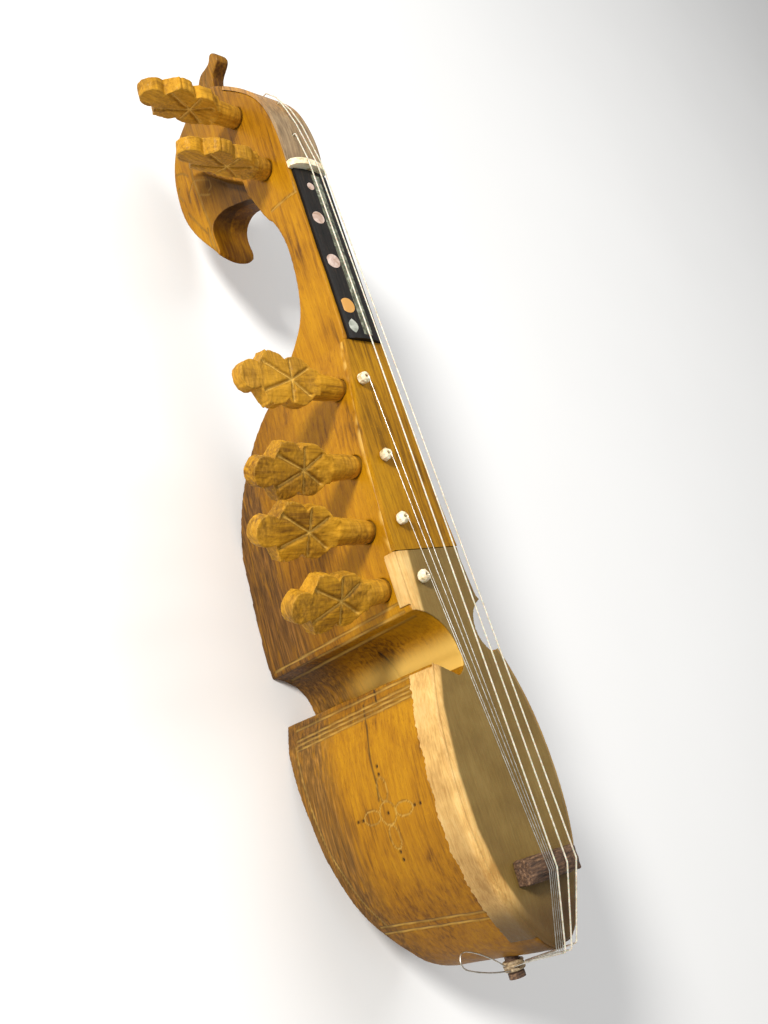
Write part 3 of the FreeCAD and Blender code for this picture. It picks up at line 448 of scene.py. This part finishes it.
def remeshed(node, voxel, rounds, name=None):
    """An evenly meshed copy of a CAD node, its edges rounded by a few rounds of smoothing."""
    mesh = frame["nodes"][node].data.copy()
    piece = bpy.data.objects.new(name or f"{node}_carved", mesh)
    bpy.context.collection.objects.link(piece)
    weld = piece.modifiers.new("weld", "WELD")
    weld.merge_threshold = 0.00001
    remesh = piece.modifiers.new("remesh", "REMESH")
    remesh.mode = "VOXEL"
    remesh.voxel_size = voxel
    smooth = piece.modifiers.new("smooth", "SMOOTH")
    smooth.iterations = rounds
    graph = bpy.context.evaluated_depsgraph_get()
    made = bpy.data.meshes.new_from_object(piece.evaluated_get(graph))
    piece.modifiers.clear()
    piece.data = made
    made.polygons.foreach_set("use_smooth", np.ones(len(made.polygons), bool))
    return piece


def distance_to_path(points, path):
    """Distance of each 2-D point to a polyline."""
    best = np.full(len(points), np.inf)
    path = np.asarray(path, float)
    for start, end in zip(path, path[1:]):
        run = end - start
        share = np.clip(((points - start) @ run) / (run @ run), 0, 1)
        best = np.minimum(best, np.linalg.norm(points - start - share[:, None] * run, axis=1))
    return best


def smoothstep(low, high, values):
    """0 at low, 1 at high, smooth in between; low may be the larger."""
    share = np.clip((values - low) / (high - low), 0, 1)
    return share * share * (3 - 2 * share)


def cloud(points, scale, seed=0.0):
    """Smooth random field from about -1 to 1 at design points."""
    return np.array([noise.noise(Vector((x * scale + seed, y * scale, z * scale))) for x, y, z in points])


def arc(centre, radius, first, last, stretch=1.0, turn=0.0, count=24):
    """Arc or ellipse arc as a polyline, in degrees."""
    angles = np.radians(np.linspace(first, last, count))
    spots = np.stack([radius * stretch * np.cos(angles), radius * np.sin(angles)], axis=1)
    swing = math.radians(turn)
    spin = np.array([[math.cos(swing), math.sin(swing)], [-math.sin(swing), math.cos(swing)]])
    return spots @ spin + np.array(centre)


def curve_through(points, count=40):
    """Smooth polyline through a few points (Catmull-Rom)."""
    points = np.asarray(points, float)
    padded = np.vstack([2 * points[0] - points[1], points, 2 * points[-1] - points[-2]])
    made = []
    for a, b, c, d in zip(padded, padded[1:], padded[2:], padded[3:]):
        for share in np.linspace(0, 1, max(3, count // len(points)), endpoint=False):
            linear, square = (c - a) * share, (2 * a - 5 * b + 4 * c - d) * (share * share)
            made.append(0.5 * (2 * b + linear + square + (3 * b - a - 3 * c + d) * share ** 3))
    return np.array(made + [points[-1]])


# Edges of the belly and of the chest in the front view, from the tail up.
BELLY_RIGHT = [
    (-1, -161), (10, -156.5), (25, -137), (35.5, -115), (41, -90), (42, -60), (37, -25), (28, 0)]
BELLY_LEFT = [
    (-1, -161), (-12, -157), (-27, -139), (-37.5, -117), (-43, -90), (-43, -60), (-38, -25), (-31, -1)]
CHEST_RIGHT = [(25, 30), (21, 68), (18.5, 100), (17, 135), (16, 168), (15.8, 201)]
CHEST_LEFT = [(-32.5, 29), (-32, 70), (-30, 95), (-28, 122), (-25, 147), (-20.7, 172.4), (-15.8, 201)]


def edge_frame(plan, path):
    """How far front-view points lie inside an outline up the right side, and which way is inwards."""
    best = np.full(len(plan), np.inf)
    inside = np.zeros(len(plan))
    inward = np.zeros((len(plan), 2))
    for start, end in zip(path, path[1:]):
        run = end - start
        share = np.clip(((plan - start) @ run) / (run @ run), 0, 1)
        offset = plan - start - share[:, None] * run
        away = np.linalg.norm(offset, axis=1)
        normal = np.array([-run[1], run[0]]) / np.linalg.norm(run)
        nearer = away < best
        best = np.where(nearer, away, best)
        inside = np.where(nearer, offset @ normal, inside)
        inward[nearer] = normal
    return inside, inward


def round_front_edge(spots, radius=5.0):
    """Rounds the belly's and the chest's front edge, moving every layer there alike."""
    moved = spots.copy()
    for path, side, low, high in ((BELLY_RIGHT, 1, -170, 4), (BELLY_LEFT, -1, -170, 4),
                                  (CHEST_RIGHT, 1, 28, 205), (CHEST_LEFT, -1, 28, 205)):
        outline = curve_through(path, 80) * np.array([side, 1])
        near = (spots[:, 1] > low) & (spots[:, 1] < high) & (spots[:, 2] > -radius)
        near &= spots[:, 0] * side > -8
        plan = spots[near][:, :2] * np.array([side, 1])
        inside, inward = edge_frame(plan, outline)
        reach = radius * (0.35 + 0.65 * smoothstep(70, 55, spots[near][:, 1]))
        out, up = reach - inside, reach + spots[near][:, 2]
        corner = (out > 0) & (up > 0) & (inside > -3)
        share = np.where(corner, np.maximum(out, up) / np.maximum(np.hypot(out, up), 1e-6), 1.0)
        fade = smoothstep(low, low + 6, spots[near][:, 1])
        share = 1 - (1 - share) * fade
        shift = (1 - share) * out
        changed = moved[near]
        changed[:, 0] += shift * inward[:, 0] * side
        changed[:, 1] += shift * inward[:, 1]
        changed[:, 2] -= (1 - share) * up
        moved[near] = changed
    return moved


# The rosette's middle, in (y, z), and its sizes in mm, measured out from there.
ROSETTE = (-69.0, -55.5)
ROSETTE_RING = 6.4
LEAF_PLACE = 13.2
LEAF_RADIUS = 3.9
LEAF_STRETCH = 1.7
DOT_PLACES = (21.3, 25.8)


def rosette():
    """Circle, four leaves and pairs of dots carved on the side of the lower box."""
    y, z = ROSETTE
    lines = [arc((y, z), ROSETTE_RING, 0, 360)]
    dots = []
    for quarter in range(4):
        swing = math.radians(90 * quarter)
        out = np.array([math.cos(swing), math.sin(swing)])
        middle = np.array([y, z]) + out * LEAF_PLACE
        lines.append(arc(middle, LEAF_RADIUS, 0, 360, LEAF_STRETCH, 90 * quarter))
        dots += [np.array([y, z]) + out * place for place in DOT_PLACES]
    return lines, dots + [np.array([y, z])]


# Lines carved round the hook: points in (y, z), half width and depth.
HOOK_SWIRLS = [
    ([(341, -84.0), (331, -85.2), (319, -84.8)], 0.5, 0.5),
    ([(339, -87.5), (330, -88.3), (322, -87.8)], 0.45, 0.45),
    ([(400, -84), (385, -86.9), (368, -86.4), (351, -85.2), (339, -84.0)], 0.6, 0.6),
    ([(361, -101.5), (349, -95.8), (336, -89.0)], 0.4, 0.35),
    ([(394, -102), (391, -96), (385.5, -91.5)], 0.4, 0.35),
    ([(378, -87.5), (376, -91), (372.5, -95), (367, -96)], 0.4, 0.4),
    ([(383, -103.5), (378.5, -105.5), (373, -103.2)], 0.4, 0.35),
    ([(378, -86.2), (374.5, -79.5), (371.9, -76), (366.6, -76.1), (364.7, -78)], 0.5, 0.45),
    ([(365.3, -85), (363, -81.5), (361.5, -78.5)], 0.6, 0.6),
]


def side_lines():
    """Incised lines on the sides of the block, in (y, z), with half width and depth in mm."""
    lines = []
    for near, far in ((-3.5, -6.5), (-8.2, -13.0), (-10.8, -15.6), (-13.4, -18.4)):
        lines.append(([(near, -20), (far, -124)], 0.55, 0.5))
    for near, far in ((-131.0, -128.0), (-135.0, -132.0)):
        lines.append(([(near, -14), (far, -100)], 0.5, 0.45))
    border = curve_through([
        (-16, -125), (-41, -121), (-67, -116), (-90, -109), (-112, -101), (-128, -94)])
    lines.append((border, 0.5, 0.4))
    for near, far in ((27.5, 25.5), (30.5, 28.0), (36.0, 32.5)):
        lines.append(([(near, -8), (far, -128)], 0.5, 0.45))
    lines.append(([(310, -25), (309, -10), (306.5, 3)], 0.5, 0.5))
    lines.append(([(321, 1), (308, -1)], 0.4, 0.4))
    for knots, half, deep in HOOK_SWIRLS:
        lines.append((curve_through(knots), half, deep))
    for near, far in (((440.5, -61.5), (451, -58.0)), ((439.5, -58.0), (450.5, -53.5))):
        lines.append(([near, far], 0.4, 0.4))
    leaves, dots = rosette()
    lines += [(leaf, 0.30, 0.35) for leaf in leaves]
    return lines, dots


# The left face of the head, in x.
HEAD_SIDE = -15.8
# The near side of the hook is hollowed from an incised line, in (y, z), to a step under the peg.
HOOK_LINE = [(384, -87), (363, -85.3), (346, -85.2), (331, -84.2), (317, -82.7), (300, -74)]
HOLLOW_STEP = [(316.5, -35.3), (325, -38.5), (333, -40), (345, -41), (364, -62), (378, -75), (384, -87)]
HOLLOW_OUTLINE = HOOK_LINE + [(290, -60), (300, -30)] + HOLLOW_STEP[:-1]
# How fast the hollow deepens away from the line, and how deep it gets, in mm.
HOLLOW_SLOPE = 0.42
HOLLOW_DEEPEST = 8.5


def inside_outline(plane, outline):
    """Which of the points, one a row, lie within a closed outline."""
    y, z = plane.T
    inside = np.zeros(len(plane), dtype=bool)
    for (first_y, first_z), (last_y, last_z) in zip(outline, outline[1:] + outline[:1]):
        if first_z == last_z:
            continue
        crossing = first_y + (last_y - first_y) * (z - first_z) / (last_z - first_z)
        inside ^= ((first_z > z) != (last_z > z)) & (y < crossing)
    return inside


# Where the hook ends, in y; how far its end swells, and how much of that its right corner loses.
HOOK_TIP = 317.0
HOOK_SWELL = 4.5
HOOK_RIGHT_CUT = 1.5


def round_hook_end(spots):
    """The points with the edge at the end of the hook swollen into a blunt, uneven thumb."""
    x, y, z = spots.T
    near = smoothstep(HOOK_TIP + 14, HOOK_TIP, y) * (y > HOOK_TIP - 15) * smoothstep(-60, -66, z)
    across = np.clip((x - HEAD_SIDE) / (-2 * HEAD_SIDE), 0, 1)
    rounded = spots.copy()
    swell = HOOK_SWELL * np.sin(np.pi * across) - HOOK_RIGHT_CUT * smoothstep(0.8, 1.0, across)
    rounded[:, 1] -= near * swell
    return rounded


def hook_hollow(spots):
    """How deep the near side of the hook is cut away at each point, in mm."""
    depth = np.zeros(len(spots))
    near = inside_outline(spots[:, 1:], HOLLOW_OUTLINE) & (spots[:, 0] < 0)
    plane = spots[near][:, 1:]
    slope = np.minimum(HOLLOW_SLOPE * distance_to_path(plane, HOOK_LINE), HOLLOW_DEEPEST)
    step = smoothstep(0.8, 2.5, distance_to_path(plane, HOLLOW_STEP))
    depth[near] = slope * step * smoothstep(303, 322, plane[:, 0])
    return depth


# Lines that start above HEAD_LINES, in y, are fainter than the others.
HEAD_LINES = 330
HEAD_LINE_GLOW = 0.4
# Strength of the bright and of the dark side of an incised line.
LINE_GLOW = 0.42
LINE_SHADE = 0.62
DOT_DEPTH = 0.8


def engrave(spots, outer):
    """Depth, brightness and darkness of the incised lines and dots at every point of the block."""
    depth, light, dark = np.zeros((3, len(spots)))
    plane = spots[outer][:, 1:]
    cut, glow, shade = np.zeros((3, len(plane)))
    uneven = 0.5 + 0.5 * np.clip(0.5 + 1.6 * cloud(spots[outer], 0.11, 5.0), 0, 1)
    lines, dots = side_lines()
    for path, half, deep in lines:
        away = distance_to_path(plane, path)
        strength = LINE_GLOW * uneven * (HEAD_LINE_GLOW if path[0][0] > HEAD_LINES else 1.0)
        bright_side = 1 - smoothstep(0.1, half * 1.15, np.abs(away - 0.35 * half))
        cut = np.maximum(cut, deep * (1 - smoothstep(0.1, half * 2.0, away)))
        glow = np.maximum(glow, strength * bright_side)
        shade = np.maximum(shade, LINE_SHADE * (1 - smoothstep(half * 0.9, half * 2.6, away)))
    for spot in dots:
        away = np.linalg.norm(plane - spot, axis=1)
        cut = np.maximum(cut, DOT_DEPTH * (1 - smoothstep(0.4, 1.3, away)))
        shade = np.maximum(shade, 1 - smoothstep(0.5, 1.4, away))
    depth[outer], light[outer], dark[outer] = cut, glow, np.maximum(shade - glow, 0)
    return depth, light, dark


# Two cracks, in (y, z): one along the side of the box, one in the waist.
BOX_CRACK = [(-8, -60), (-22, -58.5), (-38, -59.5), (-52, -58.6), (-61, -60)]
WAIST_CRACK = [(19, -54), (12, -52.4), (5, -51.6), (-2, -50), (-9, -49)]


def crack(spots, path):
    """1 in a crack, falling to 0 about a millimetre away."""
    return 1 - smoothstep(0.2, 1.1, distance_to_path(spots[:, 1:], path))


def in_waist(spots):
    """Which points lie in the left notch of the waist."""
    x, y, _ = spots.T
    return (y > -6) * (y < 24) * (x > -20) * (x < 0)


def lit_waist_and_glue(spots):
    """Painted light on the lower part of the waist wall, and old glue along the front edge of the chest.
    """
    x, y, z = spots.T
    # Painted light on the waist wall.
    waist = 0.85 * smoothstep(18, 6, y) * smoothstep(-105, -60, z) * in_waist(spots)
    seam = (y > 62) * (y < 201) * (x < 0) * smoothstep(-6.0, -3.4, z + 1.6 * cloud(spots, 0.10, 6.0))
    glue = seam * np.clip(0.25 + 1.2 * cloud(spots, 0.16, 3.0), 0, 0.6)
    return np.maximum(waist, glue)


def worn_places(spots, facing):
    """Varnish rubbed through: the back, its edges and the top of the head."""
    _, y, z = spots.T
    back_edge = smoothstep(-84, -112, z - 0.10 * np.abs(y + 30) * (y < 60)) * (y < 125)
    chest_rim = smoothstep(-96, -108, z) * (y < 190) * (y > 120)
    head_top = 0.55 * smoothstep(388, 425, y)
    back = 0.8 * smoothstep(0.0, -0.8, facing[:, 2]) * (np.abs(facing[:, 0]) < 0.6)
    return np.maximum.reduce([back_edge, chest_rim, head_top, back])


def aged_and_shaded_places(spots, facing):
    """Varnish gone brown, and painted shade: back of the chest and ends of the box, partly painted shade;
    head; painted shade inside the hook; painted shadow of the chest at the top of the waist.
    """
    x, y, z = spots.T
    # The back of the chest darker: browned varnish, and painted shade.
    chest = smoothstep(-30, -90, z) * smoothstep(20, 24, y) * smoothstep(230, 200, y)
    head = 0.5 * smoothstep(320, 380, y)
    # The ends of the box darker: browned varnish, and painted shade where the box turns away from the
    # light.
    box_ends = np.maximum(smoothstep(-62, -128, y), smoothstep(-17, -14, y) * smoothstep(0, -4, y))
    # Painted shade on the inner wall of the hook.
    hook = 1.4 * (y > 300) * (z < -40) * (np.abs(facing[:, 0]) < 0.55) * (facing[:, 2] > -0.4)
    # Painted shadow of the chest over the upper part of the waist wall.
    waist = 0.8 * smoothstep(2, 16, y) * smoothstep(-60, -95, z) * in_waist(spots)
    return 0.55 * np.maximum.reduce([chest, head, 0.8 * box_ends * (x < 0), hook, waist])


def carve_body():
    """The one-block body: rounded edges, incised lines, tool marks and masks of wear and browning, with
    painted shade and painted light.
    """
    piece = remeshed("carved_body", BODY_VOXEL, 12, "body_block")
    mesh = piece.data
    points, facing = coordinates(mesh), normals(mesh)
    spots = design(points)
    x, y, z = spots.T
    flank = np.abs(facing[:, 0]) > 0.35
    outer = flank & ((np.abs(x) > 13.5) | (y > 425)) & (np.sign(x) == np.sign(facing[:, 0]))
    depth, light, dark = engrave(spots, outer)
    hairline = crack(spots, BOX_CRACK) * (x < -30) * outer
    gap = crack(spots, WAIST_CRACK) * (x < -4) * (y > -10) * (y < 20)
    tail_stain = 0.55 * smoothstep(-148, -156, y) * smoothstep(-26, -14, z)
    hollow = hook_hollow(spots)
    # Painted shade in the hollow of the hook, darker where it is deeper.
    hollow_shade = (0.42 + 0.30 * smoothstep(2.0, 8.0, hollow)) * smoothstep(0.0, 0.8, hollow)
    # Light mask: glow along the incised lines, painted light on the waist wall, and old glue.
    store_mask(mesh, "light", np.maximum(light, lit_waist_and_glue(spots)))
    store_mask(mesh, "dark", np.maximum.reduce([dark, 0.8 * hairline, gap, tail_stain, hollow_shade]))
    store_mask(mesh, "wear", worn_places(spots, facing))
    # Browned varnish together with painted shade in the hook, the waist, the chest and the box ends.
    store_mask(mesh, "age_and_shade", aged_and_shaded_places(spots, facing))
    ripple = cloud(spots, 0.045) * 0.35 + cloud(spots, 0.35, 9.0) * 0.09
    covered = (np.abs(x) < 12) & (z > -100) & (y > -140)
    move = np.where(covered, 0, ripple) - (depth + 0.5 * gap)
    carved = spots + facing * move[:, None]
    carved[:, 0] = np.where(hollow > 0, np.maximum(carved[:, 0], HEAD_SIDE + hollow), carved[:, 0])
    set_coordinates(mesh, frame_points(round_front_edge(round_hook_end(carved))))
    dress(piece, BODY_WOOD)
    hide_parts("carved_body")
    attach(piece, INSTRUMENT)


# Length of a peg's paddle, and where the middle of its star lies along it, in mm.
PADDLE_LENGTH = 56.0
STAR_CENTRE = 20.5
# Half width of a paddle at each distance along it: as modelled, and as carved into round lobes.
MODELLED_PADDLE = [
    (0, 8.2), (1, 8.2), (4, 12), (9, 15.3), (15, 14), (20, 11.8), (25, 14.3), (31, 15.8), (35.5, 13.2),
    (37.5, 8.6), (40.5, 10.6), (45, 11.2), (50, 9.6), (53.5, 6.5), (56, 1.5)]
CARVED_PADDLE = [
    (0, 8.2), (2.5, 8.0), (5, 8.2), (7.5, 11.0), (11, 13.6), (16, 14.6), (21, 13.7), (23.6, 11.6),
    (26, 13.8), (30, 15.4), (34.5, 15.8), (39, 13.6), (41.6, 9.4), (43, 6.9), (45.5, 7.9), (49.5, 8.3),
    (53, 6.2), (56, 1.5)]
# Incised spokes from the middle of the flower: direction from the tip, in degrees, and length.
SPOKES = [(24, 22), (-24, 22), (93, 12.5), (-93, 12.5), (148, 15.5), (-148, 15.5)]


def widest_direction(radial):
    """Unit direction in which a set of points spreads most."""
    values, vectors = np.linalg.eigh(radial.T @ radial)
    return vectors[:, np.argmax(values)]


def half_width(profile, along):
    """Half width from a profile of (distance, half width) pairs."""
    return np.interp(along, *zip(*profile))


def carve_peg(name, seed):
    """A tuning peg: round lobes, incised star, tool marks."""
    piece = remeshed(name, PEG_VOXEL, 4, f"{name}_carved")
    mesh = piece.data
    points, facing = coordinates(mesh), normals(mesh)
    place, axis = AXIS[f"{name}_body"]
    axis = np.array(axis.normalized())
    local = points * 1000 - np.array(place) * 1000
    out = local @ axis
    radial = local - out[:, None] * axis
    width = widest_direction(radial[out > 30])
    thick = np.cross(axis, width)
    w, t = radial @ width, radial @ thick
    u = out - (out.max() - PADDLE_LENGTH)
    carved = w * half_width(CARVED_PADDLE, u) / half_width(MODELLED_PADDLE, u)
    w = np.where(u > 0, carved, w)
    paddle = smoothstep(2, 9, u)
    rim = np.clip(np.abs(w) / 16, 0, 1)
    t = t * (1 - paddle * (0.10 + 0.26 * rim ** 2 + 0.22 * smoothstep(40, 56, u)))
    face = smoothstep(0.30, 0.75, np.abs(facing @ thick)) * (u > 3)
    groove = np.zeros(len(points))
    scratch = np.zeros(len(points))
    for direction, length in SPOKES:
        swing = math.radians(direction)
        ahead = (u - STAR_CENTRE) * math.cos(swing) + w * math.sin(swing)
        aside = np.abs(w * math.cos(swing) - (u - STAR_CENTRE) * math.sin(swing))
        on_spoke = (ahead > -0.4) * smoothstep(length + 1.5, length - 1.0, ahead)
        groove = np.maximum(groove, on_spoke * (1 - smoothstep(0.0, 2.3, aside)))
        scratch = np.maximum(scratch, on_spoke * (1 - smoothstep(0.15, 0.75, aside)))
    ripple = cloud(local, 0.16, seed) * 0.40 + cloud(local, 0.55, seed + 4.0) * 0.16
    outside = smoothstep(1.0, 4.0, out)
    shaped = np.array(place) * 1000 + out[:, None] * axis + w[:, None] * width + t[:, None] * thick
    shaped += facing * (ripple * outside - face * (1.1 * groove + 0.5 * scratch))[:, None]
    set_coordinates(mesh, shaped / 1000)
    edge = smoothstep(0.92, 0.70, np.abs(facing @ thick)) * smoothstep(0.35, 0.6, np.abs(facing @ thick))
    store_mask(mesh, "light", np.maximum(0.75 * scratch * face, 0.22 * edge * paddle))
    at_wall = 0.5 * (1 - smoothstep(0.0, 2.2, out))
    store_mask(mesh, "dark", np.maximum(0.45 * groove * face - scratch, at_wall))
    store_mask(mesh, "wear", 0.35 + 0.5 * cloud(local, 0.05, seed + 2.0))
    dress(piece, PEG_WOOD)
    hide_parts(name)
    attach(piece, f"{name}_body")


# ---------------------------------------------------------------- skin


def make_skin():
    """Skin belly: wrinkled, with ragged edges down the sides."""
    piece = remeshed("skin_belly", SKIN_VOXEL, 2, "skin_sheet")
    mesh = piece.data
    points, facing = coordinates(mesh), normals(mesh)
    spots = design(points)
    x, y, z = spots.T
    edge = distance_to_edge(x, y)
    side = smoothstep(-0.4, -2.2, z)
    # Painted highlight along the rounded front edge, strong on the left and faint on the right.
    side = np.maximum(side, smoothstep(4.6, 2.6, edge) * np.where(x < 0, 0.95, 0.3))
    wrinkle = 0.5 * cloud(spots * np.array([1.0, 0.25, 1.0]), 0.35, 3.0) + 0.2 * cloud(spots, 0.9, 5.0)
    tail = smoothstep(-118, -150, y)
    changed = round_front_edge(spots) + facing * ((0.10 + 0.5 * tail) * wrinkle * 0.45)[:, None]
    low_edge = smoothstep(-14.0, -19.0, changed[:, 2])
    ragged = 1.6 + 1.4 * cloud(spots, 0.12, 2.0) + 1.2 * cloud(spots, 0.45, 7.0)
    changed[:, 2] += low_edge * np.clip(ragged, 0, 4) * smoothstep(-158, -140, y)
    set_coordinates(mesh, frame_points(changed))
    stain = 1.05 * smoothstep(-118, -146, y) + 0.35 * np.clip(cloud(spots, 0.05, 8.0), 0, 1)
    store_mask(mesh, "side", np.clip(side, 0, 1) * (1 - 0.9 * smoothstep(-122, -142, y)))
    # Painted shade: the side band darker lower down and towards the tail.
    low_band = 0.36 * smoothstep(-1, -8, z) * smoothstep(-35, -110, y)
    store_mask(mesh, "dark", np.maximum(stain * 0.8, low_band))
    dress(piece, HIDE)
    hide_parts("skin_belly")
    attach(piece, INSTRUMENT)


def distance_to_edge(x, y):
    """Rough distance of a point of the belly to its left or right edge, in mm."""
    stations = [-161, -137, -115, -90, -60, -25, 0, 30, 64]
    half = np.interp(y, stations, [3, 26, 36.5, 42, 42.5, 37.5, 29, 29, 26])
    return half - np.abs(x)


def make_bridge():
    """The bridge, a roughly cut block that stands on the skin."""
    piece = remeshed("bridge", BRIDGE_VOXEL, 3, "bridge_block")
    mesh = piece.data
    points, facing = coordinates(mesh), normals(mesh)
    spots = design(points)
    rough = 0.55 * cloud(spots, 0.22, 1.0) + 0.3 * cloud(spots, 0.7, 6.0)
    rough *= smoothstep(1.0, 3.0, spots[:, 2]) * (1 - smoothstep(11.5, 13.5, spots[:, 2]) * 0.8)
    set_coordinates(mesh, points + facing * (rough - 0.15)[:, None] / 1000)
    dress(piece, BRIDGE_WOOD)
    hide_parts("bridge")
    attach(piece, INSTRUMENT)


def carve_bead(name, seed):
    """A bone bead whittled by hand: lumpy, with a worn hole."""
    piece = remeshed(name, BEAD_VOXEL, 4, f"{name}_carved")
    mesh = piece.data
    points, facing = coordinates(mesh), normals(mesh)
    spots = design(points)
    lumps = 0.55 * cloud(spots, 0.28, seed) + 0.15 * cloud(spots, 0.9, seed)
    lumps *= smoothstep(0.4, 1.4, spots[:, 2])
    set_coordinates(mesh, points + facing * lumps[:, None] / 1000)
    dress(piece, BONE)
    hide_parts(name)
    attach(piece, INSTRUMENT)


# ---------------------------------------------------------------- everything in place

carve_body()
for seed, peg in enumerate(SIDE_PEGS + HEAD_PEGS):
    carve_peg(peg, 3.7 * seed)
make_skin()
make_bridge()

soften(dress("chest_plate", PLATE_WOOD), 0.0004)
soften(dress("pegbox_cover", cover_wood()), 0.0005)
soften(dress("fingerboard", board_wood()), 0.0003)
dress("pearl_inlay", pearl("mottled_pearl", (0.02, 0.02, 0.012), (0.14, 0.15, 0.09), (0.42, 0.43, 0.32)))
dress("inlay_dots", pearl("dot_pearl", (0.40, 0.25, 0.17), (0.55, 0.40, 0.33), (0.70, 0.56, 0.48),
                          lowest=(0.62, 0.30, 0.055)))
dress("inlay_leaf", pearl("leaf_pearl", (0.20, 0.22, 0.17), (0.36, 0.38, 0.32), (0.55, 0.56, 0.48)))
soften(dress("nut", BONE), 0.0008, 3)
for number in range(1, 5):
    carve_bead(f"bead_{number}", 5.3 * number)
    dress(f"thin_string_{number}", WIRE)
for name in ("left", "middle", "right"):
    dress(f"main_string_{name}", GUT)
for peg in SIDE_PEGS:
    dress(f"winding_{peg}", WIRE)
for peg in HEAD_PEGS:
    dress(f"winding_{peg}", GUT)
soften(dress("tail_pin", BRIDGE_WOOD), 0.0005)
dress("tail_knots", old_gut())

loop = smooth_curve("spare_wire", SPARE_LOOP, LOOP_DIAMETER / 2)
dress(loop, WIRE)
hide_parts("spare_loop")
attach(loop, INSTRUMENT)

# ---------------------------------------------------------------- floor and light


def make_floor():
    """The floor that the object lies on."""
    mesh = bpy.data.meshes.new("floor")
    half = 4.0
    corners = [(-half, -half, 0), (half, -half, 0), (half, half, 0), (-half, half, 0)]
    mesh.from_pydata(corners, [], [(0, 1, 2, 3)])
    floor = bpy.data.objects.new("floor", mesh)
    bpy.context.collection.objects.link(floor)
    dress(floor, pale_floor())


def soft_light(name, place, target, size, power, colour=(1.0, 1.0, 1.0)):
    """A round area light at a place, aimed at a target."""
    data = bpy.data.lights.new(name, "AREA")
    data.shape = "DISK"
    data.size = size
    data.energy = power
    data.color = colour
    light = bpy.data.objects.new(name, data)
    light.location = place
    light.rotation_euler = (Vector(target) - Vector(place)).to_track_quat("-Z", "Y").to_euler()
    bpy.context.collection.objects.link(light)


def make_world():
    """Even white light from all around."""
    world = bpy.data.worlds.new("studio")
    world.use_nodes = True
    world.node_tree.nodes["Background"].inputs["Color"].default_value = (1.0, 1.0, 1.0, 1.0)
    world.node_tree.nodes["Background"].inputs["Strength"].default_value = 0.43
    bpy.context.scene.world = world


MIDDLE = (0.0, 0.1, 0.1)
make_floor()
make_world()
soft_light("key", (-1.50, 0.80, 1.10), MIDDLE, 0.40, 44, (1.0, 0.98, 0.94))
soft_light("fill", (0.5, 0.6, 2.0), MIDDLE, 1.2, 12)
bpy.context.scene.view_settings.view_transform = "Standard"
